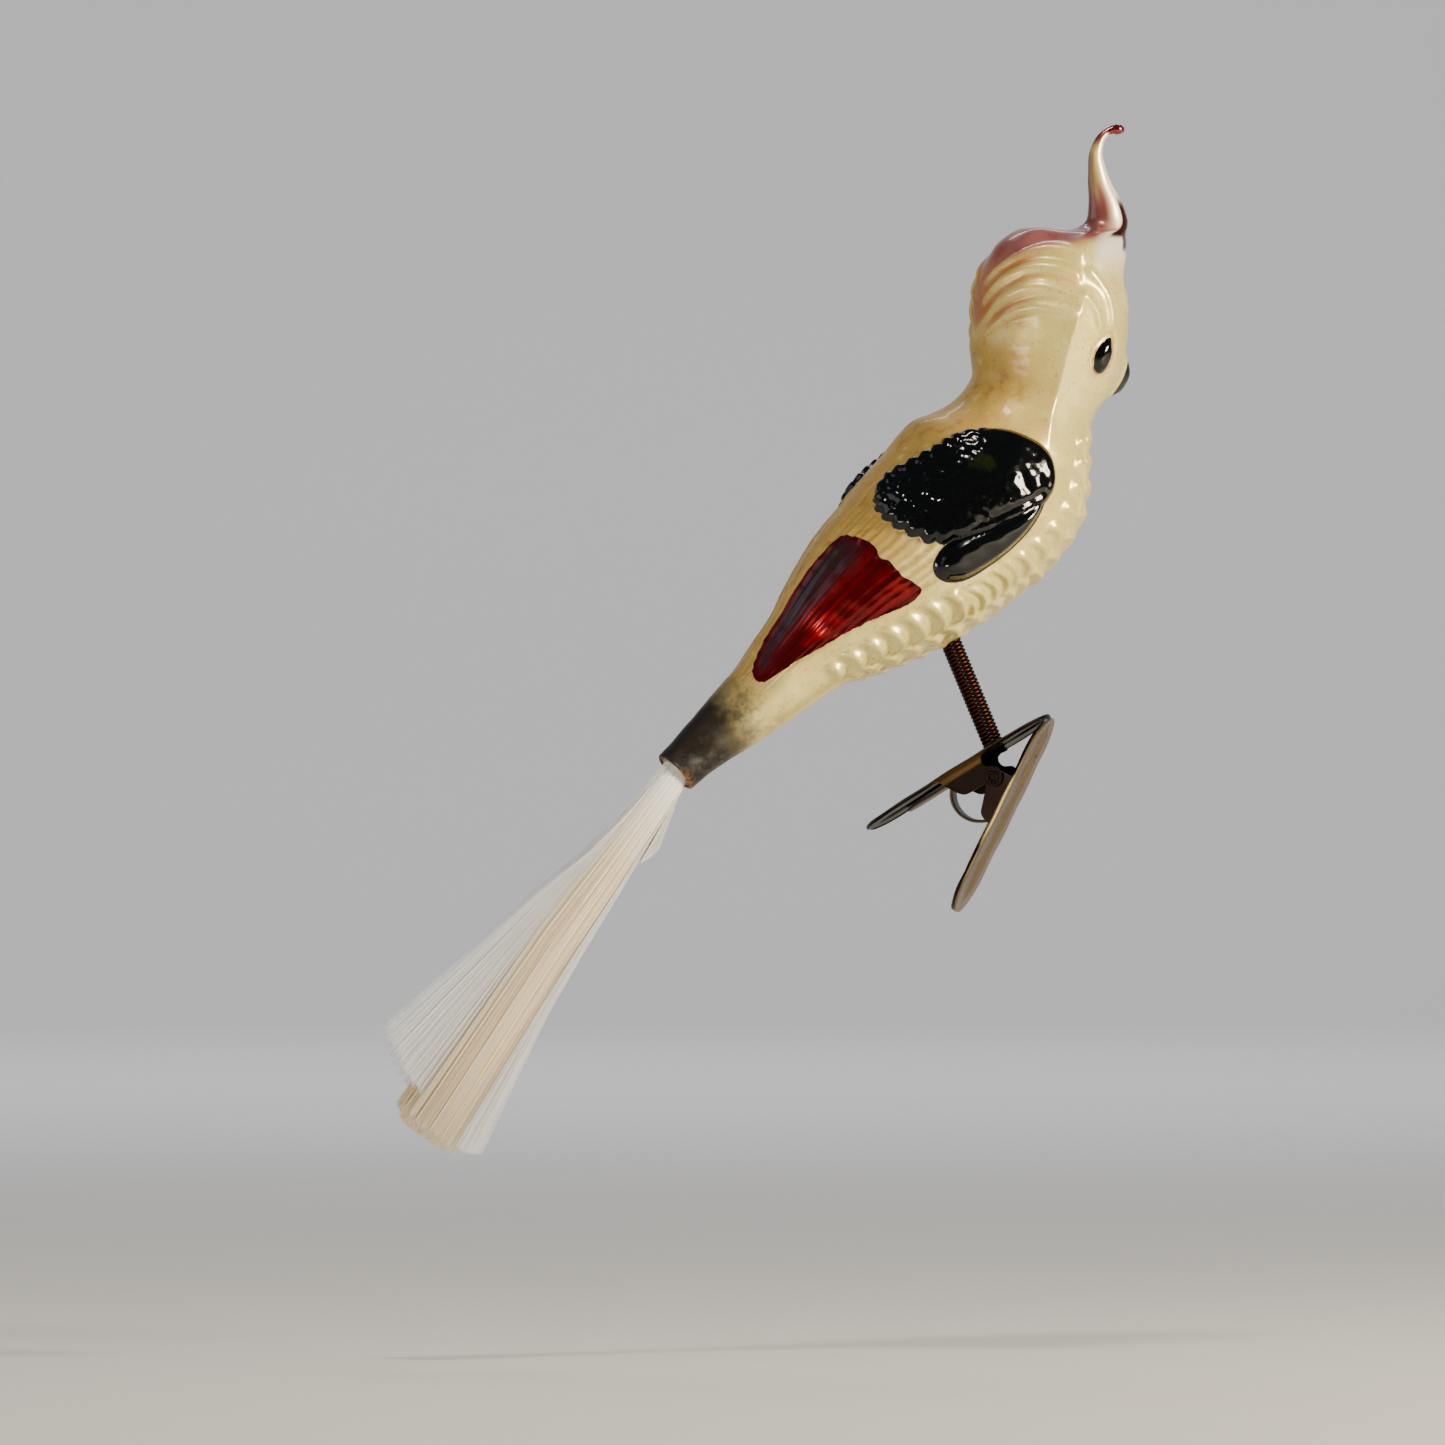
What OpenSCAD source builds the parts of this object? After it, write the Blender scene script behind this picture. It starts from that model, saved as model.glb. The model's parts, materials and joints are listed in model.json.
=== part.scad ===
// Clip-on glass bird: a hollow blown bird with a spun-glass tail. It stands on a
// close-wound wire leg, which turns in the top plate of a spring-closed metal clip.
// Millimetres. +X is the way the bird faces, +Y its left side, +Z up.
// The origin is where the tips of the two clip jaws meet.

/* [Clip] */
// Length of each plate, jaw tip to handle tip
plate_l = 28.5; // [27:0.5:30]
// Width of each plate
plate_w = 12; // [11.5:0.5:13]
// Radius of the plates' rounded corners
plate_corner_r = 4.8; // [3:0.1:5]
// Sheet thickness of the plates
sheet_t = 0.4; // [0.3:0.05:0.4]
// Slope of the top plate above the horizontal
top_slope = 31.6; // [31:0.1:32]
// Slope of the bottom plate above the horizontal
bottom_slope = 63.4; // [63:0.1:64]
// How far the clip is turned away from the way the bird faces
clip_turn = 33; // [0:1:45]
// Width of the long pressed rib on each plate
rib_w = 2.6; // [2:0.1:3]
// Height of the pressed rib
rib_h = 0.5; // [0.3:0.1:0.6]

/* [Clip hinge] */
// Distance from the jaw tips to the hinge
hinge_r = 10.2; // [10.1:0.1:10.3]
// Direction from the jaw tips to the hinge, below the horizontal
hinge_slope = 50.6; // [50.3:0.1:51]
// Radius of the pressed bosses that the bottom plate turns on
boss_r = 0.9; // [0.7:0.1:1]
// Running clearance between boss and hole
boss_clearance = 0.05; // [0.02:0.01:0.08]

/* [Clip spring] */
// Thickness of the spring strip
strip_t = 0.4; // [0.3:0.05:0.4]
// Width of the spring strip
strip_w = 3.4; // [3:0.1:3.4]
// Outer radius of the spring's loop
loop_r = 3.7; // [3.5:0.1:3.7]
// Distance from the jaw tips to the loop's centre
loop_distance = 13.9; // [13.9:0.1:14.1]
// Distance from the jaw tips to the end of each foot
foot_reach = 23; // [20:0.5:25]

/* [Leg] */
// Length of the coil that shows between the clip and the belly
leg_l = 15.4; // [15:0.1:16]
// Lean of the leg from the vertical
leg_lean = 23.4; // [23:0.1:24]
// Compass direction of the lean, from +X towards +Y
leg_heading = 143; // [142:1:144]
// Outer diameter of the coil
coil_d = 2.86; // [2.7:0.02:2.9]
// Wire diameter
wire_d = 0.5; // [0.45:0.01:0.5]
// Distance between turns
coil_pitch = 0.53; // [0.52:0.01:0.56]
// Distance of the leg's hole from the jaw tips
leg_hole_at = 8.4; // [8.3:0.1:8.5]
// Radius of the leg's hole
leg_hole_r = 1.5; // [1.5:0.01:1.55]

/* [Glass] */
// Wall thickness of the blown glass
glass_t = 0.6; // [0.5:0.1:0.8]
// How far the wings stand out of the body
wing_relief = 0.8; // [0:0.1:1.2]
// Points round each section of the body
body_sides = 24; // [16:4:32]

/* [Tail] */
// Length of the fibres outside the tube
tail_l = 59; // [50:1:62]
// Depth of the binding in the tube
binding_depth = 5; // [4:0.5:6]
// Thickness of the loose fans of fibres
fan_t = 1.2; // [0.8:0.1:1.6]

/* [Hidden] */
$fn = 48;

// Colours
cream = [0.87, 0.82, 0.68];
spun_white = [0.93, 0.90, 0.84];
copper = [0.36, 0.20, 0.15];
tin = [0.62, 0.56, 0.45];
dark_tin = [0.30, 0.26, 0.22];
spring_steel = [0.24, 0.22, 0.21];
plaster = [0.86, 0.84, 0.78];
thread = [0.70, 0.62, 0.48];
old_glue = [0.66, 0.50, 0.26];

// Clip: half the gap between the closed plates, and where things are on each plate
half_gap = 0.08;
plate_top = half_gap + sheet_t;
ear_clearance = 0.1;
top_ear_y = plate_w / 2 - sheet_t / 2;
bottom_ear_y = top_ear_y - sheet_t - ear_clearance;
rib_r = (rib_w * rib_w / 4 + rib_h * rib_h) / (2 * rib_h);
top_hinge = hinge_on_plate(hinge_slope - top_slope);
bottom_hinge = hinge_on_plate(bottom_slope - hinge_slope);
hinge_boss_l = sheet_t + 2 * ear_clearance + 0.05;

// Leg: its foot is on the top plate's outer face
leg_axis = [sin(leg_lean) * cos(leg_heading), sin(leg_lean) * sin(leg_heading), cos(leg_lean)];
leg_foot = in_row(clip_point(leg_hole_at, plate_top));
leg_top = leg_foot + leg_l * leg_axis;
coil_r = (coil_d - wire_d) / 2;
wire_r = wire_d / 2;
wire_sides = 6;
steps_per_turn = 12;
foot_end = -1.0;
foot_top = 0.5;
middle_from = 7.2;
middle_to = 8.2;
socket_depth = 3;
socket_r = 2.1;
spread = 0.26;

// Bird: sections from the mouth of the tail tube to the tip of the crest, measured from the
// top of the leg. Each is [x, z, slope of the section's axis, half depth, half width].
body_sections = [
    [-38.5, -17.3, 43, 3.05, 3.05], [-34.6, -13.9, 42, 3.45, 3.45], [-30.3, -10.4, 40, 4.3, 4.3],
    [-25.8, -6.6, 42, 5.1, 5.1], [-21, -2.1, 44, 6.3, 6.3], [-17.6, 0.9, 43, 7.9, 7.9],
    [-14.2, 3.8, 41, 9.4, 9.4], [-10.6, 6.6, 40, 10.7, 10.7], [-7, 9.2, 41, 11.6, 11.8],
    [-2.5, 13.2, 43, 12.5, 12.6], [1, 16.3, 45, 12.9, 13], [4.3, 19.6, 51, 13.2, 13],
    [6.6, 22.6, 59, 12.8, 12.4], [8.2, 25.3, 65, 11.3, 11.2], [9.6, 27.8, 68, 9.7, 9.8],
    [10.8, 30.3, 70, 8.8, 8.9], [11.9, 32.7, 72, 8.6, 8.7], [12.8, 35.1, 76, 9.5, 9.2],
    [13.6, 37.7, 81, 10.3, 9.7], [14.2, 41.2, 88, 10.4, 10], [14.2, 44.9, 90, 10.3, 9.9],
    [14.1, 46.9, 90, 9.9, 9.5], [14.4, 48.8, 90, 9.6, 9], [15.2, 50.8, 90, 9.3, 8],
    [16.1, 52.6, 90, 8.6, 6.6], [18.2, 53.7, 90, 6.5, 4.6], [20.8, 54.3, 90, 4, 3.2],
    [21.9, 55, 90, 3.1, 2.7], [22.3, 56, 90, 2.7, 2.3], [22, 58.1, 90, 2.2, 1.9],
    [21.3, 60.3, 90, 1.7, 1.5], [20.8, 62.7, 90, 1.2, 1.1], [20.7, 64.7, 85, 0.9, 0.8],
    [21.3, 66.4, 60, 0.6, 0.6], [22.4, 67.3, 25, 0.5, 0.5], [23.4, 67.6, 10, 0.75, 0.75],
    [24.1, 67.7, 10, 0.5, 0.5]];
inner_last = 24;
tube_slope = body_sections[0][2];
tube_axis = [cos(tube_slope), 0, sin(tube_slope)];
tube_mouth = [body_sections[0][0], 0, body_sections[0][1]];
tube_bore_r = body_sections[0][3] - glass_t;

// Wings: the middle of each, in sections along the body and in degrees from the back
wing_mid = 10.4;
wing_half_l = 4.2;
wing_angle = 78;
wing_half_angle = 36;

// Tail: it leaves the mouth at this slope, and its sections across the fibres are
// [distance from the mouth, edge above, edge below, half width]
tail_slope = 53.13;
tail_dir = [-cos(tail_slope), 0, -sin(tail_slope)];
tail_side = [sin(tail_slope), 0, -cos(tail_slope)];
fibre_r = 1.85;
core_sections = [[1.2, -2.1, 2.1, 2], [6, -2.4, 2.2, 2.1], [15, -3.3, 2.7, 2.5],
                 [30, -4.5, 3.1, 3.1], [45, -4.5, 4, 3.6], [57, -4.6, 4.8, 4], [tail_l, -3.4, 4.6, 3.8]];
core_sides = 16;
binding_t = 0.25;
glue_clearance = 0.02;

// A point on the centreline of the top plate, in the clip's own upright plane
function clip_point(along, out) = [-along * cos(top_slope) - out * sin(top_slope), 0,
                                   -along * sin(top_slope) + out * cos(top_slope)];
function in_row(p) = [p[0] * cos(clip_turn) + p[1] * sin(clip_turn),
                      p[1] * cos(clip_turn) - p[0] * sin(clip_turn), p[2]];
function hinge_on_plate(angle) = [-hinge_r * cos(angle), -hinge_r * sin(angle)];

// Rings of points, each in order from the back round by the left side
function section_ring(s, sides, grow, relief) = [for (i = [0:sides - 1])
    let (a = 360 * i / sides, out = grow + relief * wing_shape(s[5], a))
    [s[0] - (s[3] + out) * cos(a) * sin(s[2]), (s[4] + out) * sin(a),
     s[1] + (s[3] + out) * cos(a) * cos(s[2])]];
function wing_shape(at, a) = let (side = min(a, 360 - a), u = (at - wing_mid) / wing_half_l,
    v = (side - wing_angle) / wing_half_angle, d = 1 - u * u - v * v) d <= 0 ? 0 : min(1, 2 * d);
function catmull(p, t) = 0.5 * (2 * p[1] + (p[2] - p[0]) * t
    + (2 * p[0] - 5 * p[1] + 4 * p[2] - p[3]) * t * t + (3 * p[1] - p[0] - 3 * p[2] + p[3]) * t * t * t);
function section_at(list, at) = let (i = min(floor(at), len(list) - 2), n = len(list) - 1)
    concat(catmull([list[max(i - 1, 0)], list[i], list[i + 1], list[min(i + 2, n)]], at - i), [at]);

// Faces of a skin through rings of equal size
function skin(first, rings, n) = [for (i = [0:rings - 2], j = [0:n - 1])
    let (a = first + i * n + j, b = first + i * n + (j + 1) % n, c = a + n, d = b + n)
    each [[a, b, d], [a, d, c]]];
function flip(faces) = [for (f = faces) [for (i = [len(f) - 1:-1:0]) f[i]]];
function start_cap(first, n) = [[for (j = [n - 1:-1:0]) first + j]];
function end_cap(first, rings, n) = [[for (j = [0:n - 1]) first + (rings - 1) * n + j]];
module loft(rings) {
    n = len(rings[0]);
    polyhedron(points = [for (r = rings) each r],
               faces = concat(start_cap(0, n), skin(0, len(rings), n), end_cap(0, len(rings), n)));
}

// Frames
module in_clip() rotate([0, 0, -clip_turn]) children();
module on_top_plate() in_clip() rotate([0, -top_slope, 0]) children();
module on_bottom_plate() in_clip() rotate([0, -bottom_slope, 0]) mirror([0, 0, 1]) children();
module on_leg() translate(leg_foot) rotate([0, leg_lean, leg_heading]) children();
module on_bird() translate(leg_top) children();
module in_tube() on_bird() translate(tube_mouth) rotate([0, 90 - tube_slope, 0]) children();

// Sheet metal
module plate_outline() {
    r = plate_corner_r;
    translate([-plate_l, -plate_w / 2 + r]) square([plate_l, plate_w - 2 * r]);
    translate([-plate_l + r, -plate_w / 2]) square([plate_l - 2 * r, plate_w]);
    for (x = [-r, -plate_l + r], y = [-1, 1])
        translate([x, y * (plate_w / 2 - r)]) circle(r);
}
module plate_section() {
    difference() {
        union() {
            translate([-plate_w / 2, half_gap]) square([plate_w, sheet_t]);
            translate([0, plate_top + rib_h - rib_r]) circle(rib_r);
        }
        translate([-plate_w / 2, -2 * rib_r]) square([plate_w, 2 * rib_r + half_gap]);
        translate([0, half_gap + rib_h - rib_r]) circle(rib_r);
    }
}
module ribbed_plate() {
    intersection() {
        linear_extrude(plate_top + rib_h) plate_outline();
        translate([-plate_l, 0, 0]) rotate([90, 0, 90]) linear_extrude(plate_l) plate_section();
    }
}
module ear(y, points, hinge, eye_r) {
    translate([0, y + sheet_t / 2, 0]) rotate([90, 0, 0]) linear_extrude(sheet_t) {
        polygon(points);
        translate(hinge) circle(eye_r);
    }
}
module hinge_hole(at, r) {
    translate([at[0], -plate_w, at[1]]) rotate([-90, 0, 0]) cylinder(h = 2 * plate_w, r = r);
}

module clip_top_plate() {
    outline = [[-9.4, plate_top], [-9.9, -0.7], [-9.7, -1.6], [-8.7, -2.4], top_hinge,
               [-10.8, -3.4], [-13.9, -3.4], [-15.5, -1.4], [-16.3, plate_top]];
    color(dark_tin) on_top_plate() difference() {
        union() {
            ribbed_plate();
            for (side = [-1, 1])
                ear(side * top_ear_y, outline, top_hinge, 1.35);
        }
        hinge_hole(top_hinge, boss_r + boss_clearance);
        rotate([0, top_slope, 0]) rotate([0, 0, clip_turn]) translate(leg_foot)
            rotate([0, leg_lean, leg_heading]) translate([0, 0, -3]) cylinder(h = 6, r = leg_hole_r);
    }
}
module clip_bottom_plate() {
    outline = [[-8.9, plate_top], [-8.9, -2], bottom_hinge, [-11.2, -2.6], [-15.2, -1.5],
               [-15.8, plate_top]];
    color(tin) on_bottom_plate() {
        ribbed_plate();
        for (side = [-1, 1]) {
            ear(side * bottom_ear_y, outline, bottom_hinge, 1.15);
            translate([bottom_hinge[0], side * bottom_ear_y, bottom_hinge[1]])
                rotate([-90 * side, 0, 0]) cylinder(h = sheet_t / 2 + hinge_boss_l, r = boss_r);
        }
    }
}

// The strip runs up the top handle, one and a half times round the loop and down the other handle
module jaw_spring() {
    mid_slope = (top_slope + bottom_slope) / 2;
    centre = [-loop_distance * cos(mid_slope), -loop_distance * sin(mid_slope)];
    from_angle = 90 + top_slope;
    to_angle = bottom_slope - 90 - 360;
    steps = 36;
    side_step = 3.6 / 360;
    half_shift = (from_angle - to_angle) * side_step / 2;
    r = loop_r - strip_t / 2;
    arm = foot_reach - loop_distance * cos(mid_slope - top_slope);
    places = concat(
        [[centre[0] + r * cos(from_angle) - arm * cos(top_slope),
          centre[1] + r * sin(from_angle) - arm * sin(top_slope), from_angle, half_shift]],
        [for (i = [0:steps]) let (a = from_angle + (to_angle - from_angle) * i / steps)
            [centre[0] + r * cos(a), centre[1] + r * sin(a), a,
             half_shift - (from_angle - a) * side_step]],
        [[centre[0] + r * cos(to_angle) - arm * cos(bottom_slope),
          centre[1] + r * sin(to_angle) - arm * sin(bottom_slope), to_angle, -half_shift]]);
    color(spring_steel) in_clip() loft([for (p = places)
        let (n = [cos(p[2]), 0, sin(p[2])] * strip_t / 2, at = [p[0], p[3], p[1]],
             w = [0, strip_w / 2, 0])
        [at + n - w, at + n + w, at - n + w, at - n - w]]);
}

// A stretch of the leg's wire, from one height above the plate to another
module coil(from, to, end_spread = 0) {
    steps = ceil((to - from) / coil_pitch * steps_per_turn);
    on_leg() loft([for (i = [0:steps])
        let (s = from + (to - from) * i / steps, a = 360 * s / coil_pitch,
             r = coil_r + end_spread * max(0, 1 - (s - from) / coil_pitch))
        [for (k = [0:wire_sides - 1]) let (b = 360 * k / wire_sides, out = r + wire_r * cos(b))
            [out * cos(a), out * sin(a), s + wire_r * sin(b)]]]);
}
module leg_coil_foot() color(copper) coil(foot_end, foot_top, spread);
module leg_coil_lower() color(copper) coil(foot_top, middle_from);
module leg_coil_middle() color(copper) coil(middle_from, middle_to);
module leg_coil_upper() color(copper) coil(middle_to, leg_l + socket_depth - wire_d);
module leg_cement() {
    color(plaster) on_leg() translate([0, 0, leg_l]) difference() {
        cylinder(h = socket_depth, r = socket_r - glue_clearance);
        translate([0, 0, -1]) cylinder(h = socket_depth + 2, r = coil_d / 2 + glue_clearance);
    }
}

module glass_body() {
    n = body_sides;
    last = len(body_sections) - 1;
    outer = [for (i = [0:2 * last])
        section_ring(section_at(body_sections, i / 2), n, 0, wing_relief)];
    inner = [for (i = [0:inner_last]) section_ring(section_at(body_sections, i), n, -glass_t, 0)];
    inside = len(outer) * n;
    rim = [for (j = [0:n - 1]) let (k = (j + 1) % n) each [[k, j, inside + j], [k, inside + j, inside + k]]];
    color(cream) difference() {
        on_bird() polyhedron(points = [for (r = concat(outer, inner)) each r],
            faces = concat(rim, skin(0, len(outer), n), end_cap(0, len(outer), n),
                           flip(skin(inside, len(inner), n)), flip(end_cap(inside, len(inner), n))));
        on_leg() translate([0, 0, leg_l - 3]) cylinder(h = 6, r = socket_r);
    }
}

// Fibres as one closed bundle: straight in the tube, then along the tail's own slope
module tail_core() {
    tube_ring = function (depth) [for (j = [0:core_sides - 1]) let (a = 360 * j / core_sides)
        tube_mouth + depth * tube_axis
        + fibre_r * [sin(tube_slope) * cos(a), sin(a), -cos(tube_slope) * cos(a)]];
    rings = concat([tube_ring(binding_depth), tube_ring(0)],
        [for (s = core_sections) let (mid = (s[1] + s[2]) / 2, half = (s[2] - s[1]) / 2)
            [for (j = [0:core_sides - 1]) let (a = 360 * j / core_sides)
                tube_mouth + s[0] * tail_dir + (mid + half * cos(a)) * tail_side + [0, s[3] * sin(a), 0]]]);
    color(spun_white) on_bird() loft(rings);
}
// A flat fan beside the core, through points [distance from the mouth, distance to the side]
module fan(points, y) {
    color(spun_white) on_bird() translate(tube_mouth) rotate([90, 180 - tail_slope, 0])
        translate([0, 0, y - fan_t / 2]) linear_extrude(fan_t) polygon(points);
}
module tail_rear_fan() {
    fan([[15.5, -3.7], [25, -6.5], [32, -8], [44, -11], [51, -12.6], [54, -8.8], [55.5, -4.8], [45, -4.8],
         [30, -4.8]], 0);
}
module tail_front_fan() {
    fan([[20, 3.1], [31, 3.5], [45, 4.3], [55, 5], [57.5, 5.2], [57, 7.7], [41, 4.9], [30, 3.9]], 0);
}
module tail_short_lock() {
    fan([[2.4, 2.5], [6, 2.6], [12, 2.9], [10.4, 4], [4.6, 3.1]], 0);
}
module tail_binding() {
    color(thread) in_tube() difference() {
        cylinder(h = binding_depth, r = fibre_r + glue_clearance + binding_t);
        translate([0, 0, -1]) cylinder(h = binding_depth + 2, r = fibre_r + glue_clearance);
    }
}
module tail_glue() {
    color(old_glue) in_tube() difference() {
        cylinder(h = binding_depth + 0.8, r = tube_bore_r - glue_clearance);
        translate([0, 0, -1])
            cylinder(h = binding_depth + 1, r = fibre_r + 2 * glue_clearance + binding_t);
    }
}

glass_body();
tail_core();
tail_rear_fan();
tail_front_fan();
tail_short_lock();
tail_binding();
tail_glue();
leg_cement();
leg_coil_upper();
leg_coil_middle();
leg_coil_lower();
leg_coil_foot();
clip_top_plate();
jaw_spring();
clip_bottom_plate();
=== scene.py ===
import json
import math

import bmesh
import bpy
import numpy as np
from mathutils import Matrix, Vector


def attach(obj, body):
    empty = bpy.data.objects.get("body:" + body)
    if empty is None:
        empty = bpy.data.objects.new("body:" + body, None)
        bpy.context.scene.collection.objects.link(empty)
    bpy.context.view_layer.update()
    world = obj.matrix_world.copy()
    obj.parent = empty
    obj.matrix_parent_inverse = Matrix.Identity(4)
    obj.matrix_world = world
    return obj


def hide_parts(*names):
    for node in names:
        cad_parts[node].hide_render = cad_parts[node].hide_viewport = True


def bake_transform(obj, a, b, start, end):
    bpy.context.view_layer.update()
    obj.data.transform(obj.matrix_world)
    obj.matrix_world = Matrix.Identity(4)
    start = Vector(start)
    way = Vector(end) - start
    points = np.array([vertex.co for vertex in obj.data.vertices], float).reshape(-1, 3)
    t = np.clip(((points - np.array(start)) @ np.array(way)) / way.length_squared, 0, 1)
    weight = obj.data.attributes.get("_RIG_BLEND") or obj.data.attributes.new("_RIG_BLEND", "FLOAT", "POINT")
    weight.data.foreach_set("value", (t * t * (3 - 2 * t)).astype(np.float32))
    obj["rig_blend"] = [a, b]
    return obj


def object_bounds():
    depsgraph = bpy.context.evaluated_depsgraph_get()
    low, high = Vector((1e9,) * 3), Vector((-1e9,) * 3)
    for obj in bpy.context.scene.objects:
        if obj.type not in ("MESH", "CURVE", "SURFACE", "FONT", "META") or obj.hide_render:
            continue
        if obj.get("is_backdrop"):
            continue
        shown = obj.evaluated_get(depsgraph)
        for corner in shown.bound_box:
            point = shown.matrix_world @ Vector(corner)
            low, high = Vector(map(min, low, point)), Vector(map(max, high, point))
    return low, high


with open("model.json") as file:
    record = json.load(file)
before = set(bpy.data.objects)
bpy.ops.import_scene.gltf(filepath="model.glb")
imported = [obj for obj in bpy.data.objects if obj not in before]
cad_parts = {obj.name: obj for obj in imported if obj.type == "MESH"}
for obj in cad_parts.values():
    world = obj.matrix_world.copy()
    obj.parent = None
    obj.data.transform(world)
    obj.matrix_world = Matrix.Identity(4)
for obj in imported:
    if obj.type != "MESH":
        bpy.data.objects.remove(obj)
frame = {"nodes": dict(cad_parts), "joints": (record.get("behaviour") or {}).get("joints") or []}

# Looks of the clip-on glass bird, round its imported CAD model. Shapes are worked out in
# millimetres in the row frame and go into the meshes in metres.
MM = 0.001
SEED = 7


def write_size(key, sizes={}):
    lowest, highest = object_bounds()
    sizes[key] = [[float(x) for x in lowest], [float(x) for x in highest]]


write_size("cad")

# ---------------------------------------------------------------- helpers


def linear(colour):
    """An sRGB hex colour as the linear RGBA that the shaders use."""
    parts = [int(colour[i : i + 2], 16) / 255 for i in (1, 3, 5)]
    return [p / 12.92 if p <= 0.04045 else ((p + 0.055) / 1.055) ** 2.4 for p in parts] + [1.0]


def add(tree, kind, sockets=None, out=0, **settings):
    """Adds a node and returns one of its outputs. A socket is given a value, a hex colour or
    another node's output, which is linked."""
    node = tree.nodes.new(kind)
    for key, value in settings.items():
        setattr(node, key, value)
    for key, value in (sockets or {}).items():
        if isinstance(value, bpy.types.NodeSocket):
            tree.links.new(value, node.inputs[key])
        else:
            node.inputs[key].default_value = linear(value) if isinstance(value, str) else value
    return node.outputs[out] if node.outputs else node


def new_material(name):
    """An empty material and its tree."""
    material = bpy.data.materials.new(name)
    material.use_nodes = True
    material.node_tree.nodes.clear()
    return material, material.node_tree


def add_object(name, data):
    """Puts new data into the scene as an object."""
    made = bpy.data.objects.new(name, data)
    bpy.context.scene.collection.objects.link(made)
    return made


def store_values(mesh, values):
    """Keeps a number for each point of a mesh, under each name."""
    for key, value in values.items():
        attribute = mesh.attributes.new(key, "FLOAT", "POINT")
        attribute.data.foreach_set("value", np.asarray(value, np.float32).ravel())


def make_mesh(name, points, quads, material, values=None):
    """A smooth mesh from points in millimetres and four-cornered faces, with values per point."""
    points = np.asarray(points, float).reshape(-1, 3) * MM
    quads = np.asarray(quads, np.int32).reshape(-1, 4)
    mesh = bpy.data.meshes.new(name)
    mesh.vertices.add(len(points))
    mesh.vertices.foreach_set("co", points.astype(np.float32).ravel())
    mesh.loops.add(quads.size)
    mesh.loops.foreach_set("vertex_index", quads.ravel())
    mesh.polygons.add(len(quads))
    mesh.polygons.foreach_set("loop_start", np.arange(0, quads.size, 4, dtype=np.int32))
    store_values(mesh, values or {})
    mesh.update(calc_edges=True)
    mesh.validate()
    mesh.shade_smooth()
    mesh.materials.append(material)
    return add_object(name, mesh)


def close_end(made, ring):
    """Closes an open ring of a mesh with a fan round a new middle point."""
    work = bmesh.new()
    work.from_mesh(made.data)
    work.verts.ensure_lookup_table()
    corners = [work.verts[i] for i in ring]
    middle = work.verts.new(sum((c.co for c in corners), Vector()) / len(corners))
    for layer in work.verts.layers.float.values():
        middle[layer] = corners[0][layer]
    for one, two in zip(corners, corners[1:] + corners[:1]):
        work.faces.new((two, one, middle)).smooth = True
    work.to_mesh(made.data)
    work.free()


def make_skin(name, rings, material, values=None, turned=False, ends=2):
    """A mesh over rings of points, with its ends closed. Turned is for rings that run clockwise."""
    count, sides = np.shape(rings)[:2]
    i, j = np.meshgrid(np.arange(count - 1), np.arange(sides), indexing="ij")
    k = (j + 1) % sides
    quads = np.stack([i * sides + j, (i + 1) * sides + j, (i + 1) * sides + k, i * sides + k], -1)
    first, last = range(sides), range((count - 1) * sides, count * sides)
    closed = [last, first[::-1]]
    if turned:
        quads, closed = quads[..., [0, 3, 2, 1]], [first, last[::-1]]
    made = make_mesh(name, rings, quads, material, values)
    for ring in closed[:ends]:
        close_end(made, ring)
    return made


def ease(value, low, high):
    """0 below low, 1 above high and smooth between."""
    t = np.clip((value - low) / (high - low), 0, 1)
    return t * t * (3 - 2 * t)


def circle(sides):
    """The angles of evenly spaced points round a circle."""
    return np.arange(sides) * 2 * math.pi / sides


def catmull(rows, at):
    """A smooth curve through rows, read at fractional row numbers."""
    rows = np.asarray(rows, float)
    last = len(rows) - 1
    i = np.clip(np.floor(at).astype(int), 0, last - 1)
    t = (at - i)[:, None]
    p0, p1, p2, p3 = (rows[np.clip(i + k, 0, last)] for k in (-1, 0, 1, 2))
    return 0.5 * (2 * p1 + (p2 - p0) * t + (2 * p0 - 5 * p1 + 4 * p2 - p3) * t * t
                  + (3 * p1 - p0 - 3 * p2 + p3) * t**3)


def soft_noise(points, size, seed):
    """Smooth noise from about -1 to 1, with bumps of that size in millimetres."""
    rng = np.random.default_rng(seed)
    total = np.zeros(points.shape[:-1])
    for _ in range(9):
        way = rng.normal(size=3)
        way *= rng.uniform(0.6, 1.5) * 2 * math.pi / size / np.linalg.norm(way)
        total += np.sin(points @ way + rng.uniform(0, 6.28))
    return total / 4


# ---------------------------------------------------------------- shared places

# The leg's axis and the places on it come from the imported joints.
joints = {j["name"]: j for j in frame["joints"]}
leg_foot = np.array(joints["clip_swivel"]["pos_m"]) / MM
leg_axis = np.array(joints["clip_swivel"]["axis"])
LEG_LENGTH = 15.4
leg_top = leg_foot + LEG_LENGTH * leg_axis
# The tail tube's axis, up into the body.
TUBE_SLOPE = math.radians(43)
tube_axis = np.array([math.cos(TUBE_SLOPE), 0, math.sin(TUBE_SLOPE)])

# ---------------------------------------------------------------- glass bird: form

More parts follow.
